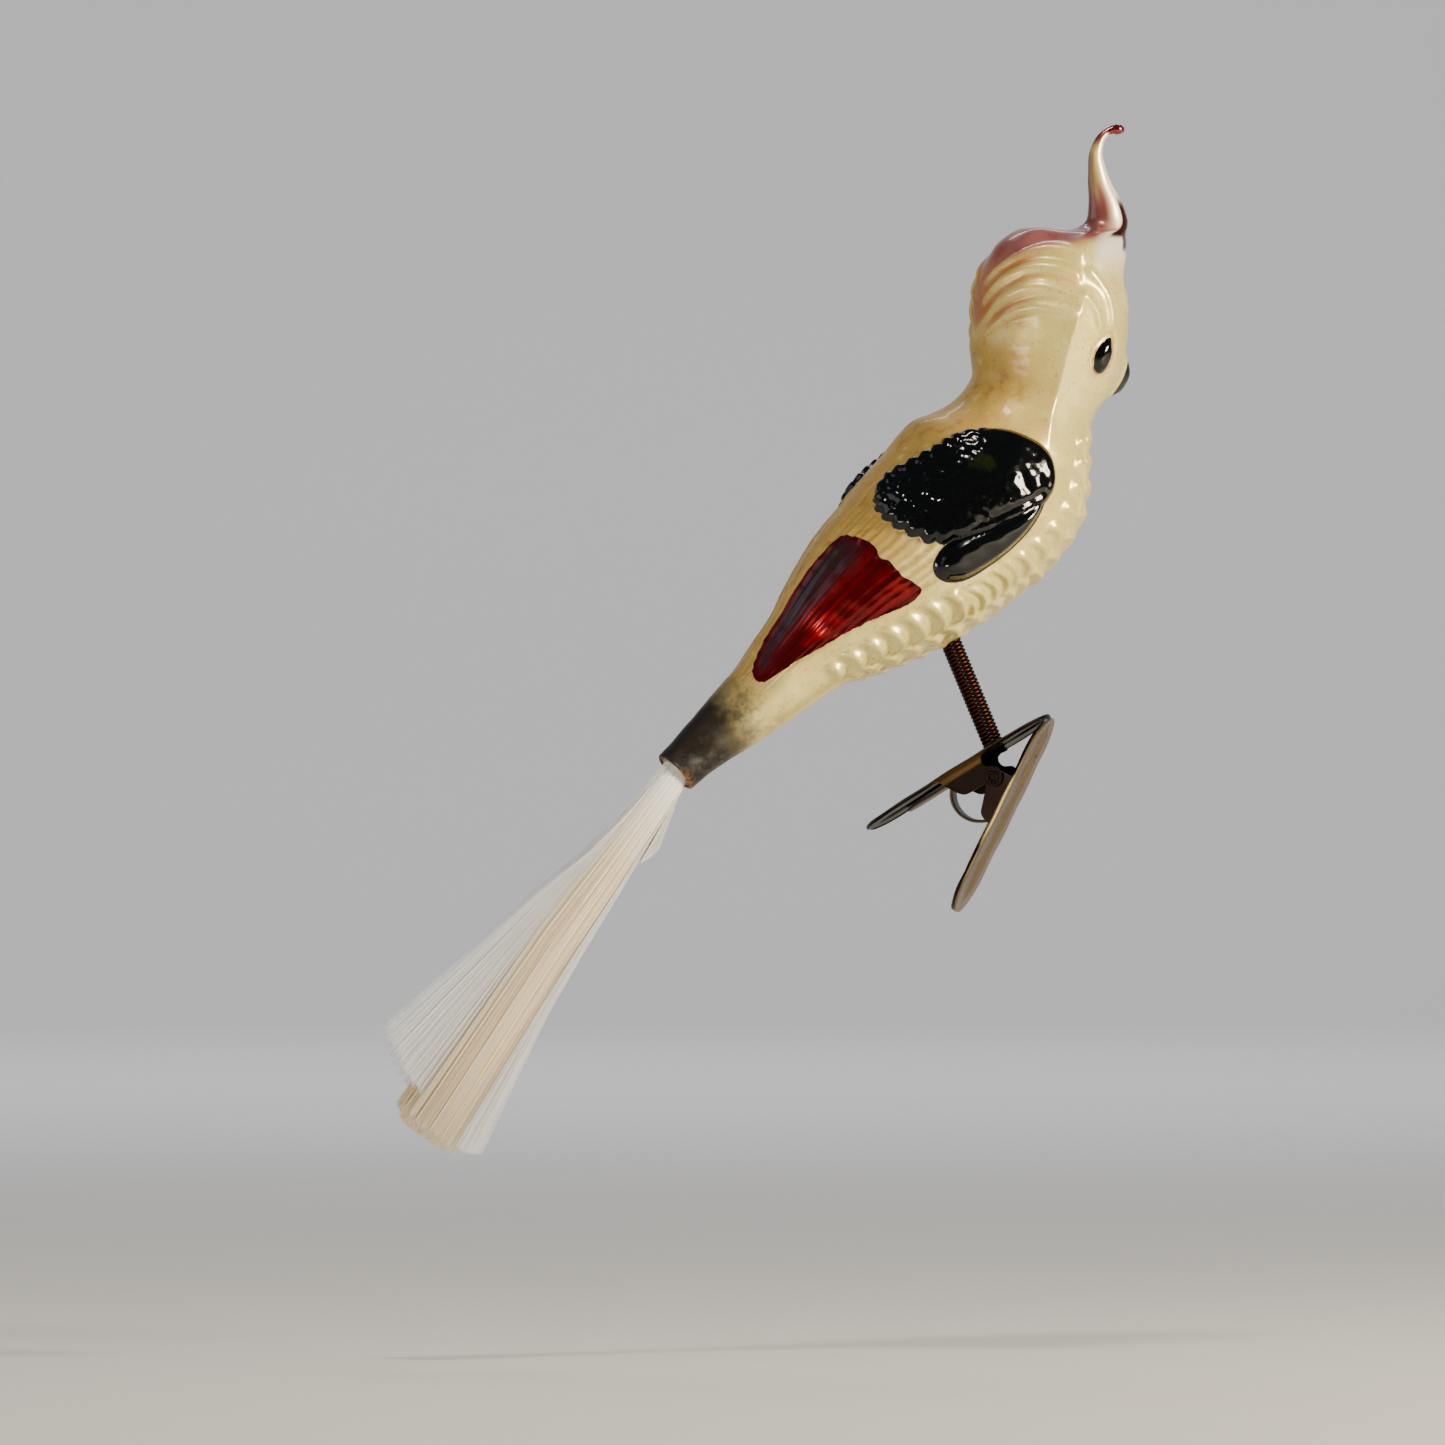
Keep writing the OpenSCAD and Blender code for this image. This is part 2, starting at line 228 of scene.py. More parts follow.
# Sections from the mouth of the tail tube to the tip of the crest, from the top of the leg:
# x, z, slope of the section's axis in degrees, half depth, half width.
BODY = [
    [-38.5, -17.3, 43, 3.05, 3.05], [-34.6, -13.9, 42, 3.45, 3.45], [-30.3, -10.4, 40, 4.3, 4.3],
    [-25.8, -6.6, 42, 5.1, 5.1], [-21, -2.1, 44, 6.3, 6.3], [-17.6, 0.9, 43, 7.9, 7.9],
    [-14.2, 3.8, 41, 9.4, 9.4], [-10.6, 6.6, 40, 10.7, 10.7], [-7, 9.2, 41, 11.6, 11.8],
    [-2.5, 13.2, 43, 12.5, 12.6], [1, 16.3, 45, 12.9, 13], [4.3, 19.6, 51, 13.2, 13],
    [6.6, 22.6, 59, 12.8, 12.4], [8.2, 25.3, 65, 11.3, 11.2], [9.6, 27.8, 68, 9.7, 9.8],
    [10.8, 30.3, 70, 8.8, 8.9], [11.9, 32.7, 72, 8.6, 8.7], [12.8, 35.1, 76, 9.5, 9.2],
    [13.6, 37.7, 81, 10.3, 9.7], [14.2, 41.2, 88, 10.4, 10], [14.2, 44.9, 90, 10.3, 9.9],
    [14.1, 46.9, 90, 9.9, 9.5], [14.4, 48.8, 90, 9.6, 9], [15.2, 50.8, 90, 9.3, 8],
    [16.1, 52.6, 90, 8.6, 6.6], [18.2, 53.7, 90, 6.5, 4.6], [20.8, 54.3, 90, 4, 3.2],
    [21.9, 55, 90, 3.1, 2.7], [22.3, 56, 90, 2.7, 2.3], [22, 58.1, 90, 2.2, 1.9],
    [21.3, 60.3, 90, 1.7, 1.5], [20.8, 62.7, 90, 1.2, 1.1], [20.7, 64.7, 85, 0.9, 0.8],
    [21.4, 66.6, 60, 0.6, 0.6], [22.6, 67.6, 22, 0.5, 0.5], [23.8, 67.8, 5, 0.75, 0.75],
    [24.6, 67.8, 5, 0.4, 0.4]]
# Outlines on the glass: millimetres along it from the tube's mouth, degrees from the back.
WING = [[44, 22], [47, 20], [50, 26], [54, 34], [58.4, 40], [61.9, 49], [63.8, 62], [64.2, 78],
        [63.8, 93], [62.5, 104], [59.5, 110], [55, 106], [50, 96], [46, 86], [43.6, 78],
        [42.6, 68], [41.8, 57], [41.6, 44], [42.2, 32]]
THUMB = [[58.5, 104], [57.5, 110], [54, 114], [49.5, 114.5], [46, 112.5], [43.4, 109], [41.6, 102],
         [41.1, 94], [42, 87], [44.4, 84], [48, 87], [51.5, 92], [55, 97]]
RED = [[36.3, 27], [37.2, 41], [37.6, 52], [37, 61], [37.5, 70], [37.4, 82], [38.2, 92],
       [38, 98], [35.6, 99], [32, 94], [28, 88], [24.5, 83], [21, 75], [17.9, 67], [16, 62],
       [15.6, 50], [16.4, 38], [18.4, 26], [22, 21], [27, 20], [31, 21], [34, 23]]
EYE = [[79.7, 121], [79.3, 114.5], [78.2, 109.5], [77, 108.7], [75.9, 111.5], [75.5, 118],
       [76.1, 124], [78, 126]]
BEAK = [[79.2, 205], [78.8, 173], [77.8, 165], [76.2, 163], [74.6, 166], [73.5, 173], [73, 205]]
SEAM = [[85.4, 96], [83.4, 91.5], [79.9, 86], [76.6, 85], [72.3, 88], [66.8, 92], [64.2, 96]]
FLANK_SEAM = [[48, 118], [42.6, 111], [38.3, 105], [32, 99], [25, 90], [19, 80]]
BROWS = [[[84.7, 95], [82.8, 104], [80.8, 108]], [[88, 102], [86.1, 113], [83.7, 119], [81.4, 121]]]


def outline_distance(points, along, around, per_degree, closed=True):
    """Millimetres to an outline, above 0 inside it, and how far along it the nearest point is."""
    path = np.array(points + points[:1] if closed else points, float)
    steps = len(path) - 1
    path = catmull(path, np.linspace(0, steps, steps * 3 + 1))
    best = np.full(along.shape, 1e9)
    travelled = np.zeros(along.shape)
    inside = np.zeros(along.shape, bool)
    run = 0
    for (s0, b0), (s1, b1) in zip(path[:-1], path[1:]):
        x, y = along - s0, (around - b0) * per_degree
        ex, ey = s1 - s0, (b1 - b0) * per_degree
        square = ex * ex + ey * ey + 1e-12
        t = np.clip((x * ex + y * ey) / square, 0, 1)
        gap = np.hypot(x - t * ex, y - t * ey)
        travelled = np.where(gap < best, run + t * np.sqrt(square), travelled)
        best = np.minimum(best, gap)
        beyond = along < s0 + (around - b0) * (s1 - s0) / (b1 - b0 + 1e-9)
        inside ^= ((b0 > around) != (b1 > around)) & beyond
        run = run + np.sqrt(square)
    return np.where(inside & closed, best, -best), travelled


def section_points(sections, sides):
    """Rings of points round the body's sections, each in order from the back by the left side."""
    a = circle(sides)
    x, z, slope, depth, width = (c[:, None] for c in sections.T)
    slope = np.radians(slope)
    return np.stack([x - depth * np.cos(a) * np.sin(slope), width * np.sin(a) + 0 * x,
                     z + depth * np.cos(a) * np.cos(slope)], -1)


def body_relief(along, around, per_degree, points):
    """How far the mould's pattern stands out at each point, and the distances that paint uses."""
    wing_in, wing_run = outline_distance(WING, along, around, per_degree)
    thumb_in, red_in, eye_in, beak_in = (
        outline_distance(line, along, around, per_degree)[0] for line in (THUMB, RED, EYE, BEAK))
    seam_gap, flank_gap, *brow_gaps = (
        outline_distance(line, along, around, per_degree, closed=False)[0]
        for line in (SEAM, FLANK_SEAM, *BROWS))
    # Wings: raised, with rows of small scalloped feathers that follow the edge, and a smooth
    # lower lobe.
    scallop = np.abs(np.sin(wing_run * math.pi / 2.1))
    upper = ease(-thumb_in, -0.6, 0.8)
    rear = ease(64.5 - along - 0.16 * (around - 45), -1, 3) * upper
    feathered = wing_in + 0.62 * (scallop - 0.55) * rear
    row = feathered / 1.9
    lap = (row - np.floor(row)) * ease(row, 0, 0.5) * ease(-row, -4.2, -2.6)
    knuckle = soft_noise(points, 3.4, SEED + 3) * ease(wing_in, 0.2, 1.6) * (1 - rear)
    crackle = soft_noise(points, 1.5, SEED + 4) * ease(wing_in, 0.2, 1.6)
    wing = 0.8 * ease(feathered, -0.05, 0.8) + 0.26 * rear * lap + 0.12 * knuckle + 0.035 * crackle
    thumb = 1.2 * ease(thumb_in, -0.1, 1.7) + 0.3 * ease(thumb_in, 0.6, 2.4)
    thumb -= 0.22 * np.exp(-(thumb_in / 0.35) ** 2) * ease(feathered, 0.2, 0.8)
    groove = np.exp(-((thumb_in + 0.25) / 0.3) ** 2) * ease(feathered, 0.3, 1)
    relief = np.maximum(wing, thumb) - 0.25 * groove
    painted_wing = np.maximum(feathered, thumb_in)
    clear = ease(-painted_wing, -0.3, 0.6)
    # Long feathers down the back and flanks, which run together towards the tail.
    wander = soft_noise(points, 14, SEED)
    strands = np.cos(2 * math.pi * (around + 1.5 * wander) / 6.2)
    strands = 0.6 * strands + 0.4 * np.cos(2 * math.pi * (around - 2 * wander) / 10.3 + 1)
    flank_edge = np.interp(along, [18, 25, 32, 38.3, 42.6, 48, 56, 64],
                           [80, 90, 99, 105, 111, 118, 122, 124])
    above = ease(flank_edge - around, 1, 7)
    reach = ease(along, 13, 20) * ease(-along, -52, -42)
    in_red = ease(red_in, -0.3, 0.6)
    fold = np.cos(2 * math.pi * (around + wander) / 17) * ease(-around, -88, -40)
    relief += (0.19 - 0.15 * in_red) * strands * above * reach * clear * ease(around, 4, 14)
    relief += 0.16 * in_red * fold * ease(along, 24, 32)
    # Belly and breast: rows of curved lumps, smaller where the flank meets the breast.
    for middle, half, shift, pitch, height, first, last in (
            (122, 17, 0.0, 3.0, 0.75, 23, 43), (150, 12, 0.5, 3.0, 0.5, 26, 46),
            (171, 12, 0.0, 3.0, 0.4, 27, 46), (130, 14, 0.3, 1.75, 0.5, 42, 50),
            (153, 12, 0.8, 2.1, 0.5, 45, 53), (131, 14, 0.2, 2.5, 0.6, 50, 68),
            (153, 12, 0.7, 2.6, 0.62, 52, 69), (174, 12, 0.2, 2.6, 0.5, 46, 70)):
        across = (around - middle) / half
        phase = (along + 1.3 * across**2 + 0.3 * wander) / pitch + shift
        lump = (0.5 + 0.5 * np.cos(2 * math.pi * phase)) ** 1.3
        band = np.clip(1 - across**2, 0, 1) ** 0.6
        span = ease(along, first - 1.2, first + 1.2) * ease(-along, -last - 1.2, -last + 1.2)
        relief += 1.2 * height * lump * band * span * clear * ease(around - flank_edge, -2, 3)
    # Head: ridges curved round the crest's foot, a mould seam down its side, brows, eye, beak.
    to_back = np.clip((62 - around) / 62, 0, 1)
    level = along + 7.4 * (to_back**2 - 4 * np.maximum(0, to_back - 0.75) ** 2)
    level = level + 1.6 * (np.maximum(0, around - 62) / 35) ** 2 + 0.35 * wander
    arcs = (0.5 + 0.5 * np.cos(2 * math.pi * (level - 91.4) / 2.75)) ** 1.2
    behind = ease(seam_at(along) - around, -1, 6)
    arcs *= behind * ease(level, 81.3, 84) * ease(-level, -93.4, -92) * ease(around, 1, 22)
    relief += 0.5 * arcs
    relief += 1.05 * np.exp(-((along - 94.2) / 1.5) ** 2) * ease(-around, -80, -25)
    # The seam is a long soft fold, sharp along its crest.
    relief += 0.75 * np.exp(seam_gap / 1.6) * ease(along, 62, 67) * ease(-along, -87, -84)
    relief += 0.22 * np.exp(-(flank_gap / 0.5) ** 2) * clear
    for gap in brow_gaps:
        relief += 0.4 * np.exp(-(gap / 0.55) ** 2)
    relief += 0.6 * ease(eye_in, -0.1, 1.0) - 0.18 * np.exp(-((eye_in + 0.5) / 0.4) ** 2)
    relief += 1.7 * ease(beak_in, -0.5, 2.6)
    # Blown glass is never quite even.
    relief += 0.07 * soft_noise(points, 9, SEED + 1) + 0.025 * soft_noise(points, 3.2, SEED + 2)
    return relief, {"wing_in": painted_wing, "red_in": red_in, "eye_in": eye_in, "beak_in": beak_in}


def seam_at(along):
    """Degrees from the back of the seam down the side of the head."""
    return np.interp(along, [66.8, 72.3, 76.6, 79.9, 84.7, 90], [92, 88, 85, 86, 95, 97])


def build_bird(material):
    """The blown bird as one closed wall, with the open mouth of its tube."""
    sides = 288
    fine = np.linspace(0, len(BODY) - 1, 6000)
    curve = catmull(BODY, fine)
    run = np.concatenate([[0], np.cumsum(np.hypot(np.diff(curve[:, 0]), np.diff(curve[:, 1])))])
    along = np.concatenate([np.arange(0, 96, 0.3), np.arange(96, run[-1], 0.6), [run[-1]]])
    sections = catmull(BODY, np.interp(along, run, fine))
    rings = section_points(sections, sides)
    step = np.linalg.norm(np.roll(rings, -1, 1) - rings, axis=-1)
    per_degree = (step.sum(1) / 360)[:, None] + np.zeros((1, sides))
    turn = np.arange(sides) * 360 / sides
    around = np.minimum(turn, 360 - turn)[None, :] + 0 * per_degree
    distance = along[:, None] + 0 * per_degree
    relief, values = body_relief(distance, around, per_degree, rings)
    down = np.gradient(rings, axis=0)
    across = np.roll(rings, -1, 1) - np.roll(rings, 1, 1)
    out = np.cross(across, down)
    out /= np.linalg.norm(out, axis=-1, keepdims=True) + 1e-9
    centre = rings.mean(1, keepdims=True)
    if ((rings - centre) * out).sum() < 0:
        out = -out
    # The leg goes in at a small dished hole in the belly.
    beyond = rings - (rings @ leg_axis)[..., None] * leg_axis
    gap = np.linalg.norm(beyond, axis=-1)
    below = (out @ leg_axis) < 0
    hole = np.where(below, 1 - ease(gap, 1.5, 1.9), 0)
    collar = np.where(below, np.exp(-((gap - 2.15) / 0.35) ** 2), 0)
    relief = relief * np.where(below, ease(gap, 1.9, 2.8), 1) - 0.9 * hole + 0.15 * collar
    relief *= ease(distance, 0, 3) * ease(-distance, -run[-1] + 1.5, -run[-1] + 12)
    outer = rings + relief[..., None] * out
    # A turned-in lip and a short length of the tube's inside, which the glue closes.
    inner = []
    for at, wall in ((-0.12, 0.12), (-0.16, 0.3), (-0.1, 0.5), (0.3, 0.6), (3, 0.6), (7.5, 0.65),
                     (7.7, 2.2), (7.8, 3.3)):
        ring = catmull(BODY, np.interp([max(at, 0)], run, fine))
        shift = min(at, 0) * tube_axis
        ring[:, 3:] = np.maximum(ring[:, 3:] - wall, 0.02)
        inner.append(section_points(ring, sides)[0] + shift)
    everything = np.concatenate([np.array(inner)[::-1], outer]) + leg_top
    extra = ((len(inner), 0), (0, 0))
    depth = np.pad(relief, extra)
    around = np.pad(around, extra, mode="edge")
    distance = np.pad(distance, extra, constant_values=-1)
    values = {key: np.pad(v, extra, constant_values=-9) for key, v in values.items()}
    rose = ease(distance + 0.045 * (60 - around), 88.5, 94.5) * ease(-around, -150, -100)
    crest = ease(distance, 94, 96) * ease(-distance, -108.5, -99)
    rose = np.maximum(rose * ease(-distance, -97, -95), crest * ease(-around, -175, -95))
    behind = np.where(distance > 64, ease(seam_at(distance) - around, -1.5, 3),
                      ease(-around, -112, -62))
    tan = (0.45 + 0.55 * ease(-around, -80, -20)) * behind * ease(distance, 4, 18)
    tan *= 1 - 0.5 * ease(distance, 72, 80)
    stain = (0.3 + 0.7 * ease(-around, -75, -25)) * ease(distance, 78.5, 83)
    stain *= ease(-distance, -95, -92) * behind
    # How low each point lies in the relief, for the painted shade in its hollows.
    hollow = np.clip(0.5 - depth / 0.35, 0, 1)
    values.update(along=distance, around=around, rose=rose, tan=tan, hollow=hollow, stain=stain)
    return make_skin("blown_glass_bird", everything, material, values)


# ---------------------------------------------------------------- glass bird: paint

# Each coat in the order it went on, most of them lacquer and some painted highlight or painted shade: where
# it lies, colour, metallic, roughness, clear coat.
# Where is a list of what has to hold: a value, where it starts and where it is full, and
# maybe a noise that makes its edge wavy, with how much.
COATS = [
    ([("speck", 0.5, 0.72), ("mottle", 0.42, 0.62)], "#c9a458", 0.3, 0.4, 0.3),
    ([("tan", 0.2, 0.95, "cloud", 0.3)], "#b3903f", 0.3, 0.5, 0.15),
    ([("tan", 0.3, 0.9), ("mottle", 0.5, 0.7)], "#9a7030", 0.3, 0.52, 0.1),
    ([("tan", 0.3, 0.9), ("mottle", 0.42, 0.3), ("speck", 0.35, 0.6)], "#d9ba70", 0.35, 0.48, 0.1),
    # Painted shade: a darker cream in the hollows of the relief.
    ([("hollow", 0.4, 1.0), ("mottle", 0.3, 0.65)], "#c79f58", 0.3, 0.42, 0.3),
    # An orange-brown stain on the head, laid in the hollows, where it is also painted shade.
    ([("stain", 0, 1), ("hollow", 0.0, 0.5, "mottle", 0.2)], "#a5682c", 0.2, 0.45, 0.3),
    ([("stain", 0, 1), ("around", 34, 8, "cloud", 30.0), ("mottle", 0.35, 0.65)],
     "#96541f", 0.2, 0.45, 0.3),
    ([("rose", 0.2, 1.0, "cloud", 0.35)], "#a5625a", 0.4, 0.34, 0.5),
    ([("rose", 0.4, 0.9), ("cloud", 0.42, 0.62)], "#7c3c3c", 0.4, 0.34, 0.5),
    ([("rose", 0.2, 0.8), ("around", 30, 6, "mottle", 20.0), ("along", 95.5, 93)],
     "#98572f", 0.3, 0.4, 0.3),
    ([("along", 95, 97), ("along", 107, 100), ("around", 100, 60)], "#7a443f", 0.4, 0.34, 0.5),
    # Painted highlight: a near-white stripe down the front of the crest.
    ([("along", 96.5, 100.5), ("around", 66, 108)], "#fbf0cc", 0.3, 0.3, 0.6),
    ([("along", 101, 105), ("around", 74, 40), ("along", 110, 108)], "#8e6a44", 0.3, 0.4, 0.4),
    ([("along", 86, 92), ("along", 98, 96), ("around", 96, 116), ("around", 176, 158)],
     "#fbf3dc", 0.3, 0.3, 0.6),
    ([("along", 90.6, 92), ("along", 96, 95), ("around", 142, 148, "mottle", 4.0)],
     "#4a040e", 0.7, 0.2, 1.0),
    ([("along", 108.5, 110.8), ("around", 120, 60)], "#6e2a30", 0.4, 0.3, 0.6),
    ([("along", 93.2, 95), ("along", 103.2, 101.2), ("around", 116, 124, "mottle", 4.0)],
     "#4a040e", 0.7, 0.2, 1.0),
    ([("along", 111.6, 112.2)], "#6c0612", 0.6, 0.12, 1.0),
    ([("speck", 0.69, 0.75)], "#9a5a26", 0.1, 0.5, 0.2),
    ([("along", 27, 18, "mottle", 14.0), ("mottle", 0.44, 0.6)], "#c8b681", 0.85, 0.3, 0.2),
    ([("along", 26, 15, "cloud", 16.0), ("mottle", 0.52, 0.36)], "#7d7460", 0.8, 0.4, 0.1),
    ([("along", 15, 10, "cloud", 7.0), ("around", 60, 110, "cloud", 20.0)], "#a2946c", 0.85, 0.34, 0.2),
    ([("along", 20, 12, "cloud", 9.0), ("around", 118, 70, "cloud", 25.0)], "#352b21", 0.7, 0.45, 0.0),
    ([("along", 15, 8.5, "cloud", 7.0)], "#332c25", 0.75, 0.42, 0.0),
    # Painted reflection: grey silver glints on the tube.
    ([("along", 13, 6), ("mottle", 0.42, 0.72), ("around", 40, 75)], "#5c5b58", 0.9, 0.36, 0.0),
    ([("along", 8, 2, "mottle", 6.0), ("mottle", 0.5, 0.3)], "#1d1712", 0.6, 0.5, 0.0),
    ([("along", 2.4, 0.8, "mottle", 3.0), ("around", 66, 105), ("speck", 0.42, 0.55)],
     "#9a6020", 0.1, 0.7, 0.0),
    ([("red_in", -0.05, 0.07, "mottle", 0.6)], "#64020a", 0.85, 0.26, 0.3),
    ([("red_in", 0.1, 0.6), ("streak", 0.48, 0.66)], "#98040a", 0.88, 0.24, 0.3),
    ([("red_in", 0.4, 1.4), ("around", 60, 74), ("cloud", 0.45, 0.62)], "#b4040c", 0.9, 0.24, 0.3),
    ([("red_in", 0.0, 1.0), ("around", 78, 50, "cloud", 30.0)], "#240206", 0.2, 0.34, 0.1),
    ([("wing_in", -0.06, 0.05, "mottle", 0.12)], "#020303", 0.0, 0.1, 0.0),
    ([("wing_in", 1.6, 3.4), ("cloud", 0.6, 0.72)], "#141c06", 0.2, 0.12, 0.0),
    ([("eye_in", -0.3, -0.15), ("mottle", 0.4, 0.55)], "#8f5f50", 0.1, 0.4, 0.4),
    ([("eye_in", -0.06, 0.02)], "#050303", 0.0, 0.05, 0.0),
    ([("beak_in", 0.75, 0.9, "mottle", 0.3)], "#0a0908", 0.0, 0.14, 0.0),
]


def glass_material():
    """Silvered glass under pearl, rose, dark red and black-green lacquers, all painted by hand, with painted
    highlights and painted shade among the coats.
    """
    material, tree = new_material("lacquered_silvered_glass")
    place = add(tree, "ShaderNodeTexCoord", out="Object")
    read = {name: add(tree, "ShaderNodeAttribute", out="Fac", attribute_name=name)
            for name in ("wing_in", "red_in", "eye_in", "beak_in", "along", "around", "rose", "tan",
                         "hollow", "stain")}
    # Noise by the size of its marks: 6 mm clouds, 1.6 mm mottling and 0.4 mm specks.
    cloud, mottle, speck = (
        add(tree, "ShaderNodeTexNoise", {"Vector": place, "Scale": 1 / (size * MM), "Detail": 4,
                                         "Roughness": 0.6})
        for size in (6, 1.6, 0.4))
    # Streaks that run along the body and together towards the tail.
    grain = add(tree, "ShaderNodeCombineXYZ", {
        axis: add(tree, "ShaderNodeMath", {0: read[name], 1: scale}, operation="MULTIPLY")
        for axis, name, scale in (("X", "along", 0.07), ("Y", "around", 0.085))})
    streak = add(tree, "ShaderNodeTexNoise", {"Vector": grain, "Scale": 1.0, "Detail": 3,
                                              "Roughness": 0.55})
    read.update(cloud=cloud, mottle=mottle, speck=speck, streak=streak)
    # The bare silvering comes first, then the coats.
    colour = add(tree, "ShaderNodeMix", {0: cloud, 6: "#faee9e", 7: "#d6c062"},
                 out=2, data_type="RGBA")
    kept = [0.35, 0.3, 0.5]
    for tests, paint, *finish in COATS:
        mask = 1
        for name, low, high, *wave in tests:
            value = read[name]
            if wave:
                value = add(tree, "ShaderNodeMath", {0: read[wave[0]], 1: wave[1], 2: value},
                            operation="MULTIPLY_ADD")
            mask = add(tree, "ShaderNodeMapRange", {0: value, 1: low, 2: high, 4: mask},
                       interpolation_type="SMOOTHSTEP")
        colour = add(tree, "ShaderNodeMix", {0: mask, 6: colour, 7: paint}, out=2, data_type="RGBA")
        kept = [add(tree, "ShaderNodeMix", {0: mask, 2: old, 3: new})
                for old, new in zip(kept, finish)]
    bump = add(tree, "ShaderNodeBump", {"Height": mottle, "Strength": 0.12, "Distance": 0.12 * MM})
    shader = add(tree, "ShaderNodeBsdfPrincipled", {
        "Base Color": colour, "Metallic": kept[0], "Roughness": kept[1], "Coat Weight": kept[2],
        "Coat Roughness": 0.06, "Normal": bump})
    add(tree, "ShaderNodeOutputMaterial", {"Surface": shader})
    return material


bird = build_bird(glass_material())
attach(bird, "bird")
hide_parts("glass_body")

# ---------------------------------------------------------------- spun-glass tail

TAIL_SLOPE = math.radians(53.13)
mouth = leg_top + np.array([BODY[0][0], 0, BODY[0][1]])
tube_side = np.array([math.sin(TUBE_SLOPE), 0, -math.cos(TUBE_SLOPE)])
tail_axis = np.array([-math.cos(TAIL_SLOPE), 0, -math.sin(TAIL_SLOPE)])
tail_side = np.array([math.sin(TAIL_SLOPE), 0, -math.cos(TAIL_SLOPE)])
across_tail = np.array([0, 1.0, 0])
TAIL_REACH, ROOT_RADIUS = 60, 1.82
# The bundle's sections: millimetres from the mouth, rear edge, front edge and half width.
BUNDLE = np.array([[1.2, -2.1, 2.1, 2.0], [6, -2.4, 2.2, 2.1], [15, -3.3, 2.7, 2.5],
                   [30, -4.5, 3.1, 3.1], [45, -4.5, 4, 3.6], [57, -4.6, 4.8, 4], [60, -4.5, 5, 4.1]])


def bundle_edge(distance, column):
    """One of the bundle's edges at distances from the mouth."""
    return np.interp(distance, BUNDLE[:, 0], BUNDLE[:, column])


def fibre_piece(name, distance, side, wide, radius, shade, material):
    """Fibres as fine square-sectioned rods, from their places along, beside and across the tail."""
    outside = distance[..., None] > 0.6
    inside = mouth - distance[..., None] * tube_axis + side[..., None] * tube_side
    beyond = mouth + distance[..., None] * tail_axis + side[..., None] * tail_side
    line = np.where(outside, beyond, inside) + wide[..., None] * across_tail
    fibres, stations = distance.shape
    turn = circle(4)
    thin = radius[:, None] * np.array([0.8] + [1.0] * (stations - 2) + [0.7])
    ring = (np.cos(turn)[:, None] * tail_side + np.sin(turn)[:, None] * across_tail)
    points = line[:, :, None, :] + thin[:, :, None, None] * ring
    f, k, j = np.meshgrid(np.arange(fibres), np.arange(stations - 1), np.arange(4), indexing="ij")
    a = (f * stations + k) * 4 + j
    b = (f * stations + k) * 4 + (j + 1) % 4
    walls = np.stack([a, b, b + 4, a + 4], -1).reshape(-1, 4)
    first = np.arange(fibres)[:, None] * stations * 4
    last = first + (stations - 1) * 4
    caps = np.concatenate([first + [3, 2, 1, 0], last + [0, 1, 2, 3]])
    values = {"shade": np.repeat(shade, stations * 4),
              "reach": np.repeat(np.clip(distance, 0, TAIL_REACH).ravel(), 4)}
    return make_mesh(name, points, np.concatenate([walls, caps]), material, values)


def stations_to(end, count):
    """Places along each fibre, from inside the tube to its own end."""
    share = np.linspace(0, 1, count - 3) ** 1.1
    start = np.array([-4.4, 0, 1.2])
    return np.concatenate([np.repeat(start[None], len(end), 0),
                           1.2 + (end[:, None] - 1.2) * share[None, 1:],
                           end[:, None] + 0.02], 1)


def build_core(material, count=2900):
    """The dense straight bundle, in locks that lie a little across each other."""
    rng = np.random.default_rng(SEED + 10)
    turn = rng.uniform(0, 2 * math.pi, count)
    rho = np.sqrt(rng.uniform(0.05, 1, count))
    p, q = rho * np.cos(turn), rho * np.sin(turn)
    cut = 58.6 - 1.5 * np.maximum(0, -p - 0.45) ** 1.5 * 2.4 - 0.5 * np.maximum(0, p - 0.6)
    end = cut - np.abs(rng.normal(0, 0.35, count))
    distance = stations_to(end, 10)
    drift = 0.05 * np.sin(np.round(turn * 5) * 5.27) + rng.normal(0, 0.035, count)
    grow = np.clip(distance / 58, 0, 1)
    p = p[:, None] + drift[:, None] * grow
    q = q[:, None] + rng.normal(0, 0.04, count)[:, None] * grow
    rear, front, half = (bundle_edge(distance, c) for c in (1, 2, 3))
    root = ease(distance, -0.2, 1.2)
    middle = (rear + front) / 2 * root
    deep = ROOT_RADIUS + ((front - rear) / 2 - ROOT_RADIUS) * root
    wide = ROOT_RADIUS + (half - ROOT_RADIUS) * root
    strand_tone = rng.uniform(-0.3, 0.22, 96)[(turn / (2 * math.pi) * 96).astype(int)]
    # Each fibre's tone: random locks, painted light that lightens the front of the bundle, and painted shade
    # as thin dark lines between the locks at the front.
    shade = 0.6 + strand_tone + rng.normal(0, 0.15, count) + 0.2 * p[:, 0]
    shade -= 0.9 * (np.sin(37 * turn + 1) > 0.94) * ease(p[:, 0], -0.1, 0.4)
    radius = rng.uniform(0.028, 0.066, count)
    return fibre_piece("tail_bundle", distance, middle + deep * p, wide * q, radius, shade, material)


